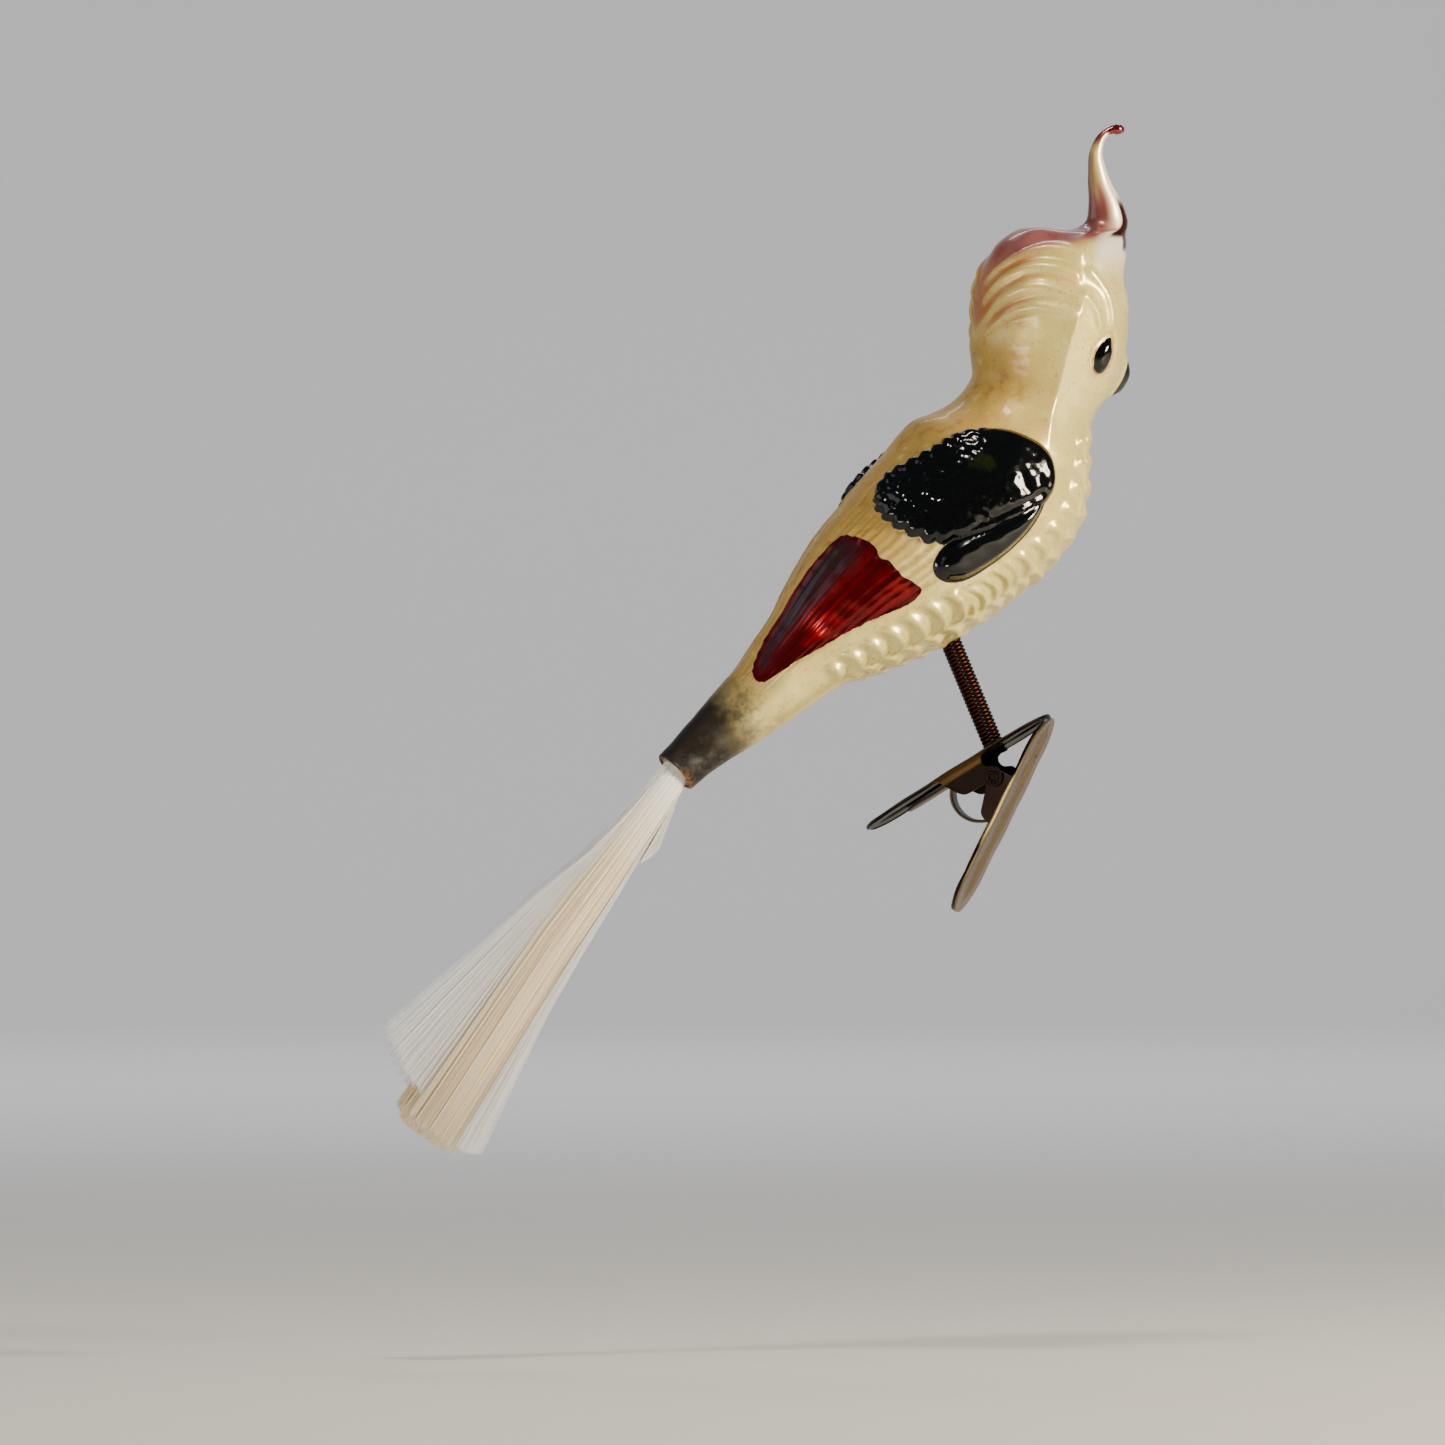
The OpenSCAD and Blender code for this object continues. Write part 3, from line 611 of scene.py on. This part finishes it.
def build_veil(name, edge, ends, count, seed, material, column, spread=1.6):
    """A thin fan of loose fibres beside the bundle, out to its own outer edge."""
    rng = np.random.default_rng(seed)
    out = rng.beta(0.95, 1.25, count)
    lock = np.floor(out * 40)
    end = np.interp(out, [0, 0.45, 1], ends) - np.abs(rng.normal(0, 0.3, count))
    distance = stations_to(end, 10)
    inner = bundle_edge(distance, column) * 0.8
    outer = np.interp(distance, edge[0], edge[1])
    grow = ease(distance, -1, 14)
    side = inner + (outer - inner) * out[:, None] * grow
    side = np.where(distance < 1.3, np.clip(side, -1.7, 1.7), side)
    widening = spread * np.clip(distance, 0, TAIL_REACH) / TAIL_REACH
    wide = rng.uniform(-1, 1, count)[:, None] * (1.2 + widening)
    wide += 0.3 * np.sin(lock * 2.3)[:, None] * widening
    shade = np.clip(0.6 + 0.15 * np.sin(lock * 5.1) + rng.normal(0, 0.12, count), 0, 1)
    radius = rng.uniform(0.008, 0.016, count)
    return fibre_piece(name, distance, side, wide, radius, shade, material)


def build_short_lock(material, count=700):
    """Short broken fibres that stand off the front of the root."""
    rng = np.random.default_rng(SEED + 30)
    out = rng.uniform(0, 1, count)
    end = np.interp(out, [0, 1], [13.2, 10.0]) - np.abs(rng.normal(0, 0.3, count))
    distance = stations_to(end, 8)
    tip = np.interp(out, [0, 1], [2.6, 4.0])[:, None]
    side = 1.6 + (tip - 1.6) * np.clip(distance / 10.5, 0, 1.1) ** 1.1
    side = np.where(distance < 1.3, 1.55, side)
    wide = rng.uniform(-1, 1, count)[:, None] * (0.7 + 0.9 * np.clip(distance, 0, 12) / 12)
    shade = rng.uniform(0.4, 0.9, count)
    radius = rng.uniform(0.008, 0.016, count)
    return fibre_piece("tail_short_wisp", distance, side, wide, radius, shade, material)


def fibre_material(name, dark, light):
    """Spun glass: silky, with a tone of its own for each fibre and painted light that whitens the roots."""
    material, tree = new_material(name)
    shade = add(tree, "ShaderNodeAttribute", out="Fac", attribute_name="shade")
    reach = add(tree, "ShaderNodeAttribute", out="Fac", attribute_name="reach")
    tone = add(tree, "ShaderNodeMapRange", {0: shade, 1: 0.1, 2: 0.75})
    colour = add(tree, "ShaderNodeMix", {0: tone, 6: dark, 7: light}, out=2, data_type="RGBA")
    # Painted light: the fibres whiten towards the root.
    root = add(tree, "ShaderNodeMapRange", {0: reach, 1: 16.0, 2: 3.0})
    colour = add(tree, "ShaderNodeMix", {0: root, 6: colour, 7: "#fdfaf3"}, out=2, data_type="RGBA")
    shader = add(tree, "ShaderNodeBsdfPrincipled", {
        "Base Color": colour, "Roughness": 0.28, "IOR": 1.5})
    add(tree, "ShaderNodeOutputMaterial", {"Surface": shader})
    return material


# Each veil's outer edge: millimetres from the mouth, and beside the tail's middle line.
REAR_EDGE = ([0, 12, 15.5, 25, 32, 44, 51, 56], [-1.8, -3, -3.7, -6.5, -8, -11, -12.6, -13.4])
FRONT_EDGE = ([0, 20, 31, 40, 56, 59], [1.8, 3.0, 3.7, 4.7, 7.7, 8.2])
silky = fibre_material("spun_glass_bundle", "#dfc084", "#fff7e4")
airy = fibre_material("spun_glass_loose", "#e8ebee", "#ffffff")
tail_pieces = {
    "tail_core": build_core(silky),
    "tail_rear_fan": build_veil("tail_rear_veil", REAR_EDGE, [55.2, 53.6, 50.6], 1200,
                                SEED + 20, airy, 1),
    "tail_front_fan": build_veil("tail_front_veil", FRONT_EDGE, [58, 57.6, 56.6], 850,
                                 SEED + 21, airy, 2),
    "tail_short_lock": build_short_lock(airy),
}
for node, piece in tail_pieces.items():
    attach(piece, "bird")
    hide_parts(node)

# ---------------------------------------------------------------- leg


def wire_material():
    """Copper-plated spring wire gone brown, with painted shade: lighter on the crowns of the turns, dark
    between them.
    """
    material, tree = new_material("tarnished_copper_wire")
    place = add(tree, "ShaderNodeTexCoord", out="Object")
    crown = add(tree, "ShaderNodeAttribute", out="Fac", attribute_name="crown")
    patina = add(tree, "ShaderNodeTexNoise", {"Vector": place, "Scale": 1 / (1.3 * MM), "Detail": 5})
    # Painted shade: the wire darkens on the side that faces the coil's middle, between the turns, over its
    # patina.
    patina_and_crown_light = add(tree, "ShaderNodeMath", {0: patina, 1: 0.9, 2: crown}, operation="MULTIPLY_ADD")
    tone = add(tree, "ShaderNodeMapRange", {0: patina_and_crown_light, 1: 0.75, 2: 1.45})
    colour = add(tree, "ShaderNodeMix", {0: tone, 6: "#0e0605", 7: "#3a1d13"}, out=2, data_type="RGBA")
    rough = add(tree, "ShaderNodeMapRange", {0: tone, 3: 0.55, 4: 0.3})
    shader = add(tree, "ShaderNodeBsdfPrincipled", {
        "Base Color": colour, "Metallic": 0.95, "Roughness": rough})
    add(tree, "ShaderNodeOutputMaterial", {"Surface": shader})
    return material


LEAN, HEADING = math.radians(23.4), math.radians(143)
leg_x = np.array([math.cos(LEAN) * math.cos(HEADING), math.cos(LEAN) * math.sin(HEADING),
                  -math.sin(LEAN)])
leg_y = np.cross(leg_axis, leg_x)
COIL_RADIUS, WIRE_RADIUS, PITCH = 1.18, 0.25, 0.53


def build_coil(name, low, high, material, splay=0.0):
    """A stretch of the close-wound wire, between two heights above the clip's top plate."""
    s = np.linspace(low, high, int((high - low) / PITCH * 28))[:, None]
    a = 2 * math.pi * s / PITCH
    b = circle(12)[None]
    out = COIL_RADIUS + splay * np.clip(1 - (s - low) / PITCH, 0, 1) + WIRE_RADIUS * np.cos(b)
    spin = (np.cos(a) * out)[..., None] * leg_x + (np.sin(a) * out)[..., None] * leg_y
    points = leg_foot + spin + (s + WIRE_RADIUS * np.sin(b))[..., None] * leg_axis
    return make_skin(name, points, material, {"crown": np.cos(b) + 0 * s})


copper = wire_material()
# Each stretch's CAD node, its name and its two heights above the top plate.
COILS = (("leg_coil_foot", "coil_end_turns", -1.0, 0.5),
         ("leg_coil_lower", "coil_lower_turns", 0.5, 7.2),
         ("leg_coil_middle", "coil_middle_turns", 7.2, 8.2),
         ("leg_coil_upper", "coil_upper_turns", 8.2, 17.9))
for node, name, low, high in COILS:
    coil = build_coil(name, low, high, copper, splay=0.26 if low < 0 else 0.0)
    if node == "leg_coil_lower":
        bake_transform(coil, "leg_foot", "leg_mid", leg_foot * MM + 0.5 * MM * leg_axis,
                 leg_foot * MM + 7.2 * MM * leg_axis)
    elif node == "leg_coil_upper":
        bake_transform(coil, "leg_mid", "bird", leg_foot * MM + 8.2 * MM * leg_axis,
                 leg_foot * MM + 14.9 * MM * leg_axis)
    else:
        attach(coil, "leg_foot" if low < 0 else "leg_mid")
    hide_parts(node)

# ---------------------------------------------------------------- clip


def metal_material(name, inner, dark, light, edge, band, metallic, rough):
    """Thin stamped sheet with its plating worn: drawn-out rubbing marks, brown stains, bare edges lightened
    also as a painted highlight, painted shade on its inner faces and ears, and a painted highlight band on
    the turned-down edge.
    """
    material, tree = new_material(name)
    place = add(tree, "ShaderNodeTexCoord", out="Object")
    outside, along, wide = (add(tree, "ShaderNodeAttribute", out="Fac", attribute_name=key)
                            for key in ("outside", "along", "wide"))
    clouds, specks = (
        add(tree, "ShaderNodeTexNoise", {"Vector": place, "Scale": 1 / (size * MM), "Detail": 5,
                                         "Roughness": 0.6}) for size in (2.6, 0.5))
    drawn_out = add(tree, "ShaderNodeCombineXYZ", {
        axis: add(tree, "ShaderNodeMath", {0: value, 1: scale}, operation="MULTIPLY")
        for axis, value, scale in (("X", along, 0.14), ("Y", wide, 4.2))})
    rubbed = add(tree, "ShaderNodeTexNoise", {"Vector": drawn_out, "Scale": 1.0, "Detail": 4})
    tone = add(tree, "ShaderNodeMapRange", {0: rubbed, 1: 0.15, 2: 0.85})
    rust = add(tree, "ShaderNodeMath", {0: clouds, 1: 0.5, 2: specks}, operation="MULTIPLY_ADD")
    rusty = add(tree, "ShaderNodeMapRange", {0: rust, 1: 0.88, 2: 1.0})
    shown = add(tree, "ShaderNodeMapRange", {0: outside, 1: 0.18, 2: 0.36})
    across = add(tree, "ShaderNodeMath", {0: wide}, operation="ABSOLUTE")
    rolled = add(tree, "ShaderNodeMapRange", {0: across, 1: 5.32, 2: 5.6})
    # Bare worn edges, lightened also as a painted highlight on the rolled edges.
    bare_and_lit_edge = add(tree, "ShaderNodeMath", {0: rolled, 1: clouds}, operation="MULTIPLY")
    # Painted highlight: a lit band on the turned-down edge, beside the hinge.
    painted_light_band = rolled
    for value, low, high in ((along, 8.2, 9.6), (along, 19.0, 15.5), (outside, -1.0, -0.7),
                             (specks, 0.2, 0.4)):
        painted_light_band = add(tree, "ShaderNodeMapRange", {0: value, 1: low, 2: high, 4: painted_light_band})
    # Painted shade: the sheet's inner faces and its ears get a near-black brown.
    inner_shade = add(tree, "ShaderNodeMix", {0: clouds, 6: inner, 7: "#0d0805"}, out=2, data_type="RGBA")
    colour = dark
    for mask, over in ((tone, light), (rusty, "#5a3a20"), (bare_and_lit_edge, edge)):
        colour = add(tree, "ShaderNodeMix", {0: mask, 6: colour, 7: over}, out=2, data_type="RGBA")
    colour = add(tree, "ShaderNodeMix", {0: shown, 6: inner_shade, 7: colour}, out=2, data_type="RGBA")
    colour = add(tree, "ShaderNodeMix", {0: painted_light_band, 6: colour, 7: band}, out=2, data_type="RGBA")
    metal = add(tree, "ShaderNodeMapRange", {0: shown, 3: 0.92, 4: metallic})
    roughness = add(tree, "ShaderNodeMapRange", {
        0: rubbed, 1: 0.3, 2: 0.7, 3: rough - 0.08, 4: rough + 0.1})
    bump = add(tree, "ShaderNodeBump", {"Height": rubbed, "Strength": 0.2, "Distance": 0.04 * MM})
    shader = add(tree, "ShaderNodeBsdfPrincipled", {
        "Base Color": colour, "Metallic": metal, "Roughness": roughness,
        "Normal": bump})
    add(tree, "ShaderNodeOutputMaterial", {"Surface": shader})
    return material


# The clip's heading, the sheet's thickness, and its middle's height over the plate's own line.
TURN, SHEET, FACE = math.radians(-33), 0.4, 0.28
PLATE_LENGTH, CORNER = 28.5, 4.8
# Slopes below level, in degrees: of the plates, and of the lines from the jaw tips to the hinge
# and to the middle of the spring's loop.
TOP_SLOPE, BOTTOM_SLOPE, HINGE_SLOPE, LOOP_SLOPE = 31.6, 63.4, 50.6, 47.5
HINGE_REACH, LOOP_REACH, LOOP_RADIUS = 10.2, 13.9, 3.7
# The spring strip's width, and how far down the plates its two feet end.
STRIP_WIDTH, ARM_END = 3.6, 23


def clip_to_row(x, z):
    """A point in the clip's own upright plane, in the row frame."""
    return np.array([x * math.cos(TURN), x * math.sin(TURN), z])


clip_wide = np.array([-math.sin(TURN), math.cos(TURN), 0])


def plate_sheet(along_way, out_way, eared, edge, bow):
    """The pressed sheet as rings of points: a long rib, turned-down edges, a light bow and dents."""
    rounded = 0.5 * (1 - np.cos(np.linspace(0, math.pi, 9))) * CORNER
    t = np.concatenate([rounded, np.linspace(5.2, PLATE_LENGTH - 5.2, 60),
                        PLATE_LENGTH - rounded[::-1]])
    near_end = np.clip(CORNER - np.minimum(t, PLATE_LENGTH - t), 0, CORNER)
    half = 1.0 + np.sqrt(CORNER**2 - near_end**2)
    fold = 48 + 42 * eared * ease(t, 8.6, 9.8) * ease(-t, -17, -15.8)
    fold = np.radians(fold * (0.55 + 0.45 * ease(t, 0, 2.5)))
    radius = np.minimum(edge, half * 0.4)
    rings = []
    for at, width, angle, r in zip(t, half, fold, radius):
        flat = np.linspace(-(width - r), width - r, 41)
        bend = np.linspace(0, angle, 7)[1:]
        y = np.concatenate([-(width - r) - r * np.sin(bend[::-1]), flat, width - r + r * np.sin(bend)])
        drop = np.concatenate([r * (1 - np.cos(bend[::-1])), 0 * flat, r * (1 - np.cos(bend))])
        lean = np.concatenate([-bend[::-1], 0 * flat, bend])
        rib = 0.5 * np.clip(1 - (y / 1.35) ** 2, 0, 1) ** 1.3 * ease(at, 0.6, 3) * ease(-at, -27.8, -25)
        level = FACE - drop + rib + bow * ease(at, 1, 14) * ease(-at, -28, -12)
        level = level + 0.035 * np.sin(at * 0.9 + y) * ease(at, 2, 6)
        up = np.stack([y + SHEET / 2 * np.sin(lean), level + SHEET / 2 * np.cos(lean)], -1)
        down = np.stack([y - SHEET / 2 * np.sin(lean), level - SHEET / 2 * np.cos(lean)], -1)
        loop = np.concatenate([up, down[::-1]])
        rings.append(at * along_way + loop[:, :1] * clip_wide + loop[:, 1:] * out_way)
    return np.array(rings)


def stamped_ear(work, outline, middle, along_way, out_way):
    """Adds an ear to a plate: an outline in the sheet's plane, as thick as the sheet."""
    path = catmull(outline, np.linspace(0, len(outline) - 1, 4 * len(outline)))
    near_face = (middle - SHEET / 2) * clip_wide
    corners = [work.verts.new(Vector((-x * along_way + near_face + z * out_way) * MM))
               for x, z in path]
    face = work.faces.new(corners)
    grown = bmesh.ops.extrude_face_region(work, geom=[face])
    moved = [g for g in grown["geom"] if isinstance(g, bmesh.types.BMVert)]
    bmesh.ops.translate(work, verts=moved, vec=Vector(clip_wide * SHEET * MM))
    around = set(corners) | set(moved)
    rims = [e for e in work.edges if set(e.verts) <= around and len(e.link_faces) == 2
            and e.calc_face_angle(0) > 1]
    bmesh.ops.bevel(work, geom=rims, offset=0.07 * MM, segments=2, affect="EDGES", clamp_overlap=True)


def pressed_boss(work, at, first, way, along_way, out_way):
    """Adds the round boss that the plates turn on, domed over with a small dimple."""
    profile = ((0, 0.9), (0.62, 0.9), (0.74, 0.84), (0.8, 0.7), (0.76, 0.5), (0.66, 0.3),
               (0.62, 0.06))
    rings = []
    for reach, r in profile:
        rings.append([work.verts.new(Vector((
            (-at[0] + r * math.cos(a)) * along_way + (first + way * reach) * clip_wide
            + (at[1] + r * math.sin(a)) * out_way) * MM)) for a in circle(32)])
    for low, high in zip(rings, rings[1:]):
        for i in range(32):
            work.faces.new((low[i], low[(i + 1) % 32], high[(i + 1) % 32], high[i]))
    work.faces.new(rings[0][::-1])
    work.faces.new(rings[-1])


def build_plate(name, slope, side, ear, ear_middle, eared, edge, boss, bow, material):
    """One plate of the clip with its pair of ears, and the hinge's bosses on the lower one."""
    slope = math.radians(slope)
    along_way = clip_to_row(-math.cos(slope), -math.sin(slope))
    out_way = clip_to_row(-side * math.sin(slope), side * math.cos(slope))
    rings = plate_sheet(along_way, out_way, eared, edge, bow)
    size = rings.shape[1]
    work = bmesh.new()
    grid = [[work.verts.new(Vector(q * MM)) for q in ring] for ring in rings]
    for one, two in zip(grid, grid[1:]):
        for j in range(size):
            work.faces.new((one[j], one[(j + 1) % size], two[(j + 1) % size], two[j]))
    work.faces.new(grid[0][::-1])
    work.faces.new(grid[-1])
    for y in (-ear_middle, ear_middle):
        stamped_ear(work, ear, y, along_way, out_way)
        if boss is not None:
            pressed_boss(work, boss, y, math.copysign(1, y), along_way, out_way)
    bmesh.ops.recalc_face_normals(work, faces=work.faces)
    mesh = bpy.data.meshes.new(name)
    work.to_mesh(mesh)
    work.free()
    mesh.shade_smooth()
    mesh.set_sharp_from_angle(angle=math.radians(40))
    mesh.materials.append(material)
    places = np.array([v.co for v in mesh.vertices]) / MM
    store_values(mesh, {"outside": places @ out_way, "along": places @ along_way,
                        "wide": places @ clip_wide})
    return add_object(name, mesh)


def eye_of(centre, r, first, last):
    """Points round the rounded end of an ear, from one angle to another."""
    return [[centre[0] + r * math.cos(math.radians(a)), centre[1] + r * math.sin(math.radians(a))]
            for a in np.linspace(first, last, 7)]


def hinge_on(angle):
    """Where the hinge is on a plate, as seen from the jaw tips along the plate."""
    return [-HINGE_REACH * math.cos(math.radians(angle)), -HINGE_REACH * math.sin(math.radians(angle))]


TOP_HINGE, BOTTOM_HINGE = hinge_on(HINGE_SLOPE - TOP_SLOPE), hinge_on(BOTTOM_SLOPE - HINGE_SLOPE)
TOP_EAR = ([[-9.4, 0.1], [-9.9, -0.7], [-9.7, -1.6], [-8.7, -2.2]] + eye_of(TOP_HINGE, 1.35, 25, -155)
           + [[-11.6, -3.5], [-13.9, -3.4], [-15, -2.3], [-15.8, -0.9], [-16.3, 0.1]])
BOTTOM_EAR = ([[-8.9, 0.3], [-8.8, -0.8]] + eye_of(BOTTOM_HINGE, 1.15, 10, -150)
              + [[-11.4, -2.6], [-13.4, -2.1], [-15.1, -1.5], [-15.8, 0.3]])
# Each sheet: its inner faces' painted shade, dark, light, edge, painted highlight band, metallic, roughness.
dark_sheet = metal_material("tarnished_tin_sheet", "#1a0f09", "#120e0a", "#2b2118", "#6b5638",
                            "#49351a", 0.85, 0.42)
tin_sheet = metal_material("worn_tin_sheet", "#1f0f09", "#655642", "#87755b", "#e9dcb8", "#f6dc96",
                           0.92, 0.3)
top_plate = build_plate("pressed_top_plate", TOP_SLOPE, 1, TOP_EAR, 5.6, 1, 0.62, None, 0.12,
                        dark_sheet)
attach(top_plate, "clip")
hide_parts("clip_top_plate")
bottom_plate = build_plate("pressed_bottom_plate", BOTTOM_SLOPE, -1, BOTTOM_EAR, 5.1, 0, 1.05,
                           BOTTOM_HINGE, 0.1, tin_sheet)
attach(bottom_plate, "bottom_jaw")
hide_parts("clip_bottom_plate")


def build_spring(material):
    """The strip spring: down one handle, one and a half times round and down the other."""
    mid, top, bottom = (math.radians(slope) for slope in (LOOP_SLOPE, TOP_SLOPE, BOTTOM_SLOPE))
    centre = -LOOP_REACH * np.array([math.cos(mid), math.sin(mid)])
    first, last = math.pi / 2 + top, bottom - 2.5 * math.pi
    r = LOOP_RADIUS - SHEET / 2
    arm = ARM_END - LOOP_REACH * math.cos(mid - top)
    turns = np.linspace(first, last, 120)
    places = [(arm * (1 - t), first, 0) for t in np.linspace(0, 0.97, 14)]
    places += [(0, a, 0) for a in turns] + [(0, last, arm * t) for t in np.linspace(0.03, 1, 14)]
    b = circle(28) + math.pi / 28
    rings = []
    for before, a, after in places:
        spot = centre + r * np.array([math.cos(a), math.sin(a)])
        spot = spot - before * np.array([math.cos(top), math.sin(top)])
        spot = spot - after * np.array([math.cos(bottom), math.sin(bottom)])
        shift = STRIP_WIDTH / (2 * math.pi) * ((first - last) / 2 - (first - a))
        normal = clip_to_row(math.cos(a), math.sin(a))
        taper = 0.55 + 0.45 * min(1, (arm - max(before, after)) / 1.2)
        wide = 1.7 * taper * np.sign(np.cos(b)) * np.abs(np.cos(b)) ** 0.25
        thick = SHEET / 2 * np.sign(np.sin(b)) * np.abs(np.sin(b)) ** 0.4
        rings.append(clip_to_row(*spot) + (shift + wide)[:, None] * clip_wide + thick[:, None] * normal)
    ones = np.ones((len(rings), len(b)))
    values = {"outside": ones, "along": np.arange(len(rings))[:, None] * 0.3 * ones,
              "wide": 5.4 * ones * np.abs(np.cos(b)) ** 0.25 + 0.3}
    return make_skin("jaw_spring_strip", rings, material, values, turned=True)


# The spring strip has the same look, with the painted highlight band on its edges.
spring_steel = metal_material("brown_spring_steel", "#1c1512", "#1d1814", "#40352b", "#8a7454",
                              "#5c4a34", 0.9, 0.38)
spring = build_spring(spring_steel)
loop_slope = math.radians(LOOP_SLOPE)
loop_centre = clip_to_row(-LOOP_REACH * math.cos(loop_slope), -LOOP_REACH * math.sin(loop_slope))
opening_way = clip_to_row(math.sin(loop_slope), -math.cos(loop_slope))
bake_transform(spring, "clip", "bottom_jaw", (loop_centre - 3.6 * opening_way) * MM,
         (loop_centre + 3.6 * opening_way) * MM)
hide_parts("jaw_spring")

# ---------------------------------------------------------------- cement, thread and glue


def dry_material(name, dark, light, size, depth, rough):
    """A dry, dull filler or thread: mottled, with a grain of its own."""
    material, tree = new_material(name)
    place = add(tree, "ShaderNodeTexCoord", out="Object")
    grain = add(tree, "ShaderNodeTexNoise", {
        "Vector": place, "Scale": 1 / (size * MM), "Detail": 5})
    colour = add(tree, "ShaderNodeMix", {0: grain, 6: dark, 7: light}, out=2, data_type="RGBA")
    bump = add(tree, "ShaderNodeBump", {"Height": grain, "Strength": 0.5, "Distance": depth * MM})
    shader = add(tree, "ShaderNodeBsdfPrincipled", {
        "Base Color": colour, "Roughness": rough, "Normal": bump})
    add(tree, "ShaderNodeOutputMaterial", {"Surface": shader})
    return material


for node, slot_name, *look in (
        ("leg_cement", "cement", "dry_plaster", "#9c927c", "#ded6c2", 0.5, 0.1, 0.85),
        ("tail_binding", "binding", "cotton_thread", "#7d6a48", "#c2ab7e", 0.25, 0.08, 0.9),
        ("tail_glue", "glue", "old_brown_glue", "#4a2f14", "#9a6c32", 0.9, 0.1, 0.45)):
    shown = frame["nodes"][node]
    material = dry_material(*look)
    for kept_slot in shown.material_slots:
        kept_slot.material = material

# ---------------------------------------------------------------- floor, light, camera


def paper_material():
    """Matt seamless paper: a faint cloudiness and nothing that shines."""
    material, tree = new_material("pale_seamless_paper")
    cloud = add(tree, "ShaderNodeTexNoise", {"Scale": 6.0, "Detail": 2})
    tone = add(tree, "ShaderNodeMix", {0: cloud, 6: "#cbcac5", 7: "#d0cfcb"}, out=2, data_type="RGBA")
    shader = add(tree, "ShaderNodeBsdfPrincipled", {"Base Color": tone, "Roughness": 0.9})
    add(tree, "ShaderNodeOutputMaterial", {"Surface": shader})
    return material


VIEW_TURN = math.radians(20)
to_camera = np.array([-math.sin(VIEW_TURN), -math.cos(VIEW_TURN), 0])
to_right = np.array([math.cos(VIEW_TURN), -math.sin(VIEW_TURN), 0])
up = np.array([0, 0, 1.0])
aim_at = -43.1 * to_right - 0.7 * up - 3 * to_camera
# A round floor of pale paper that curves up into a wall, further out than any camera stands.
FLOOR, FLAT, BEND, WALL, SIDES = -84, 2100, 500, 1500, 96
bend = np.linspace(0, math.pi / 2, 12)
profile = np.concatenate([
    np.stack([np.linspace(1, FLAT, 12), 0 * bend], -1),
    np.stack([FLAT + BEND * np.sin(bend), BEND * (1 - np.cos(bend))], -1)[1:],
    [[FLAT + BEND, WALL]]])
floor_rings = [[(r * math.cos(a), r * math.sin(a), FLOOR + z) for a in circle(SIDES)]
               for r, z in profile]
floor = make_skin("paper_floor", floor_rings, paper_material(), turned=True, ends=1)
floor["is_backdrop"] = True


def softbox(name, right, height, near, width, tall, watts, colour, target=aim_at):
    """An area lamp at a place seen from the camera, aimed at the object or at the wall."""
    lamp = bpy.data.lights.new(name, "AREA")
    lamp.shape = "RECTANGLE"
    lamp.size, lamp.size_y = width * MM, tall * MM
    lamp.energy = watts
    lamp.color = linear(colour)[:3]
    made = add_object(name, lamp)
    place = right * to_right + height * up + near * to_camera
    made.location = Vector(place * MM)
    aim = Vector((target - place) * MM)
    made.rotation_mode = "QUATERNION"
    made.rotation_quaternion = aim.to_track_quat("-Z", "Y")
    made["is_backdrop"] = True


softbox("key_box", 560, 210, 290, 170, 240, 9.8, "#fff0d6")
softbox("top_box", -60, 720, 240, 130, 90, 2.2, "#fff8ec")
softbox("low_box", -400, -10, 560, 300, 110, 1.5, "#fff6ea")
softbox("wall_box", -40, 1200, -1300, 1200, 600, 22, "#f4f5ff", -2050 * to_camera + FLOOR * up)
softbox("left_box", -760, 300, 120, 600, 600, 1.3, "#f0f2ff")
world = bpy.data.worlds.new("studio")
bpy.context.scene.world = world
world.use_nodes = True
backdrop = world.node_tree.nodes["Background"].inputs
backdrop["Color"].default_value = linear("#8f959c")
backdrop["Strength"].default_value = 0.3

# The long lens keeps the view nearly flat. VIEW_WIDTH is what it takes in at the aim point.
LENS, SENSOR, VIEW_WIDTH = 360, 36, 190.7
camera = bpy.data.cameras.new("camera")
camera.lens = LENS
camera.sensor_width = SENSOR
camera.dof.use_dof = False
camera_object = add_object("camera", camera)
bpy.context.scene.camera = camera_object
reach = VIEW_WIDTH / SENSOR * LENS
camera_object.location = Vector((aim_at + reach * to_camera) * MM)
camera_object.rotation_mode = "QUATERNION"
camera_object.rotation_quaternion = Vector(-to_camera).to_track_quat("-Z", "Y")
camera.clip_start, camera.clip_end = 0.05, 20

write_size("finished")
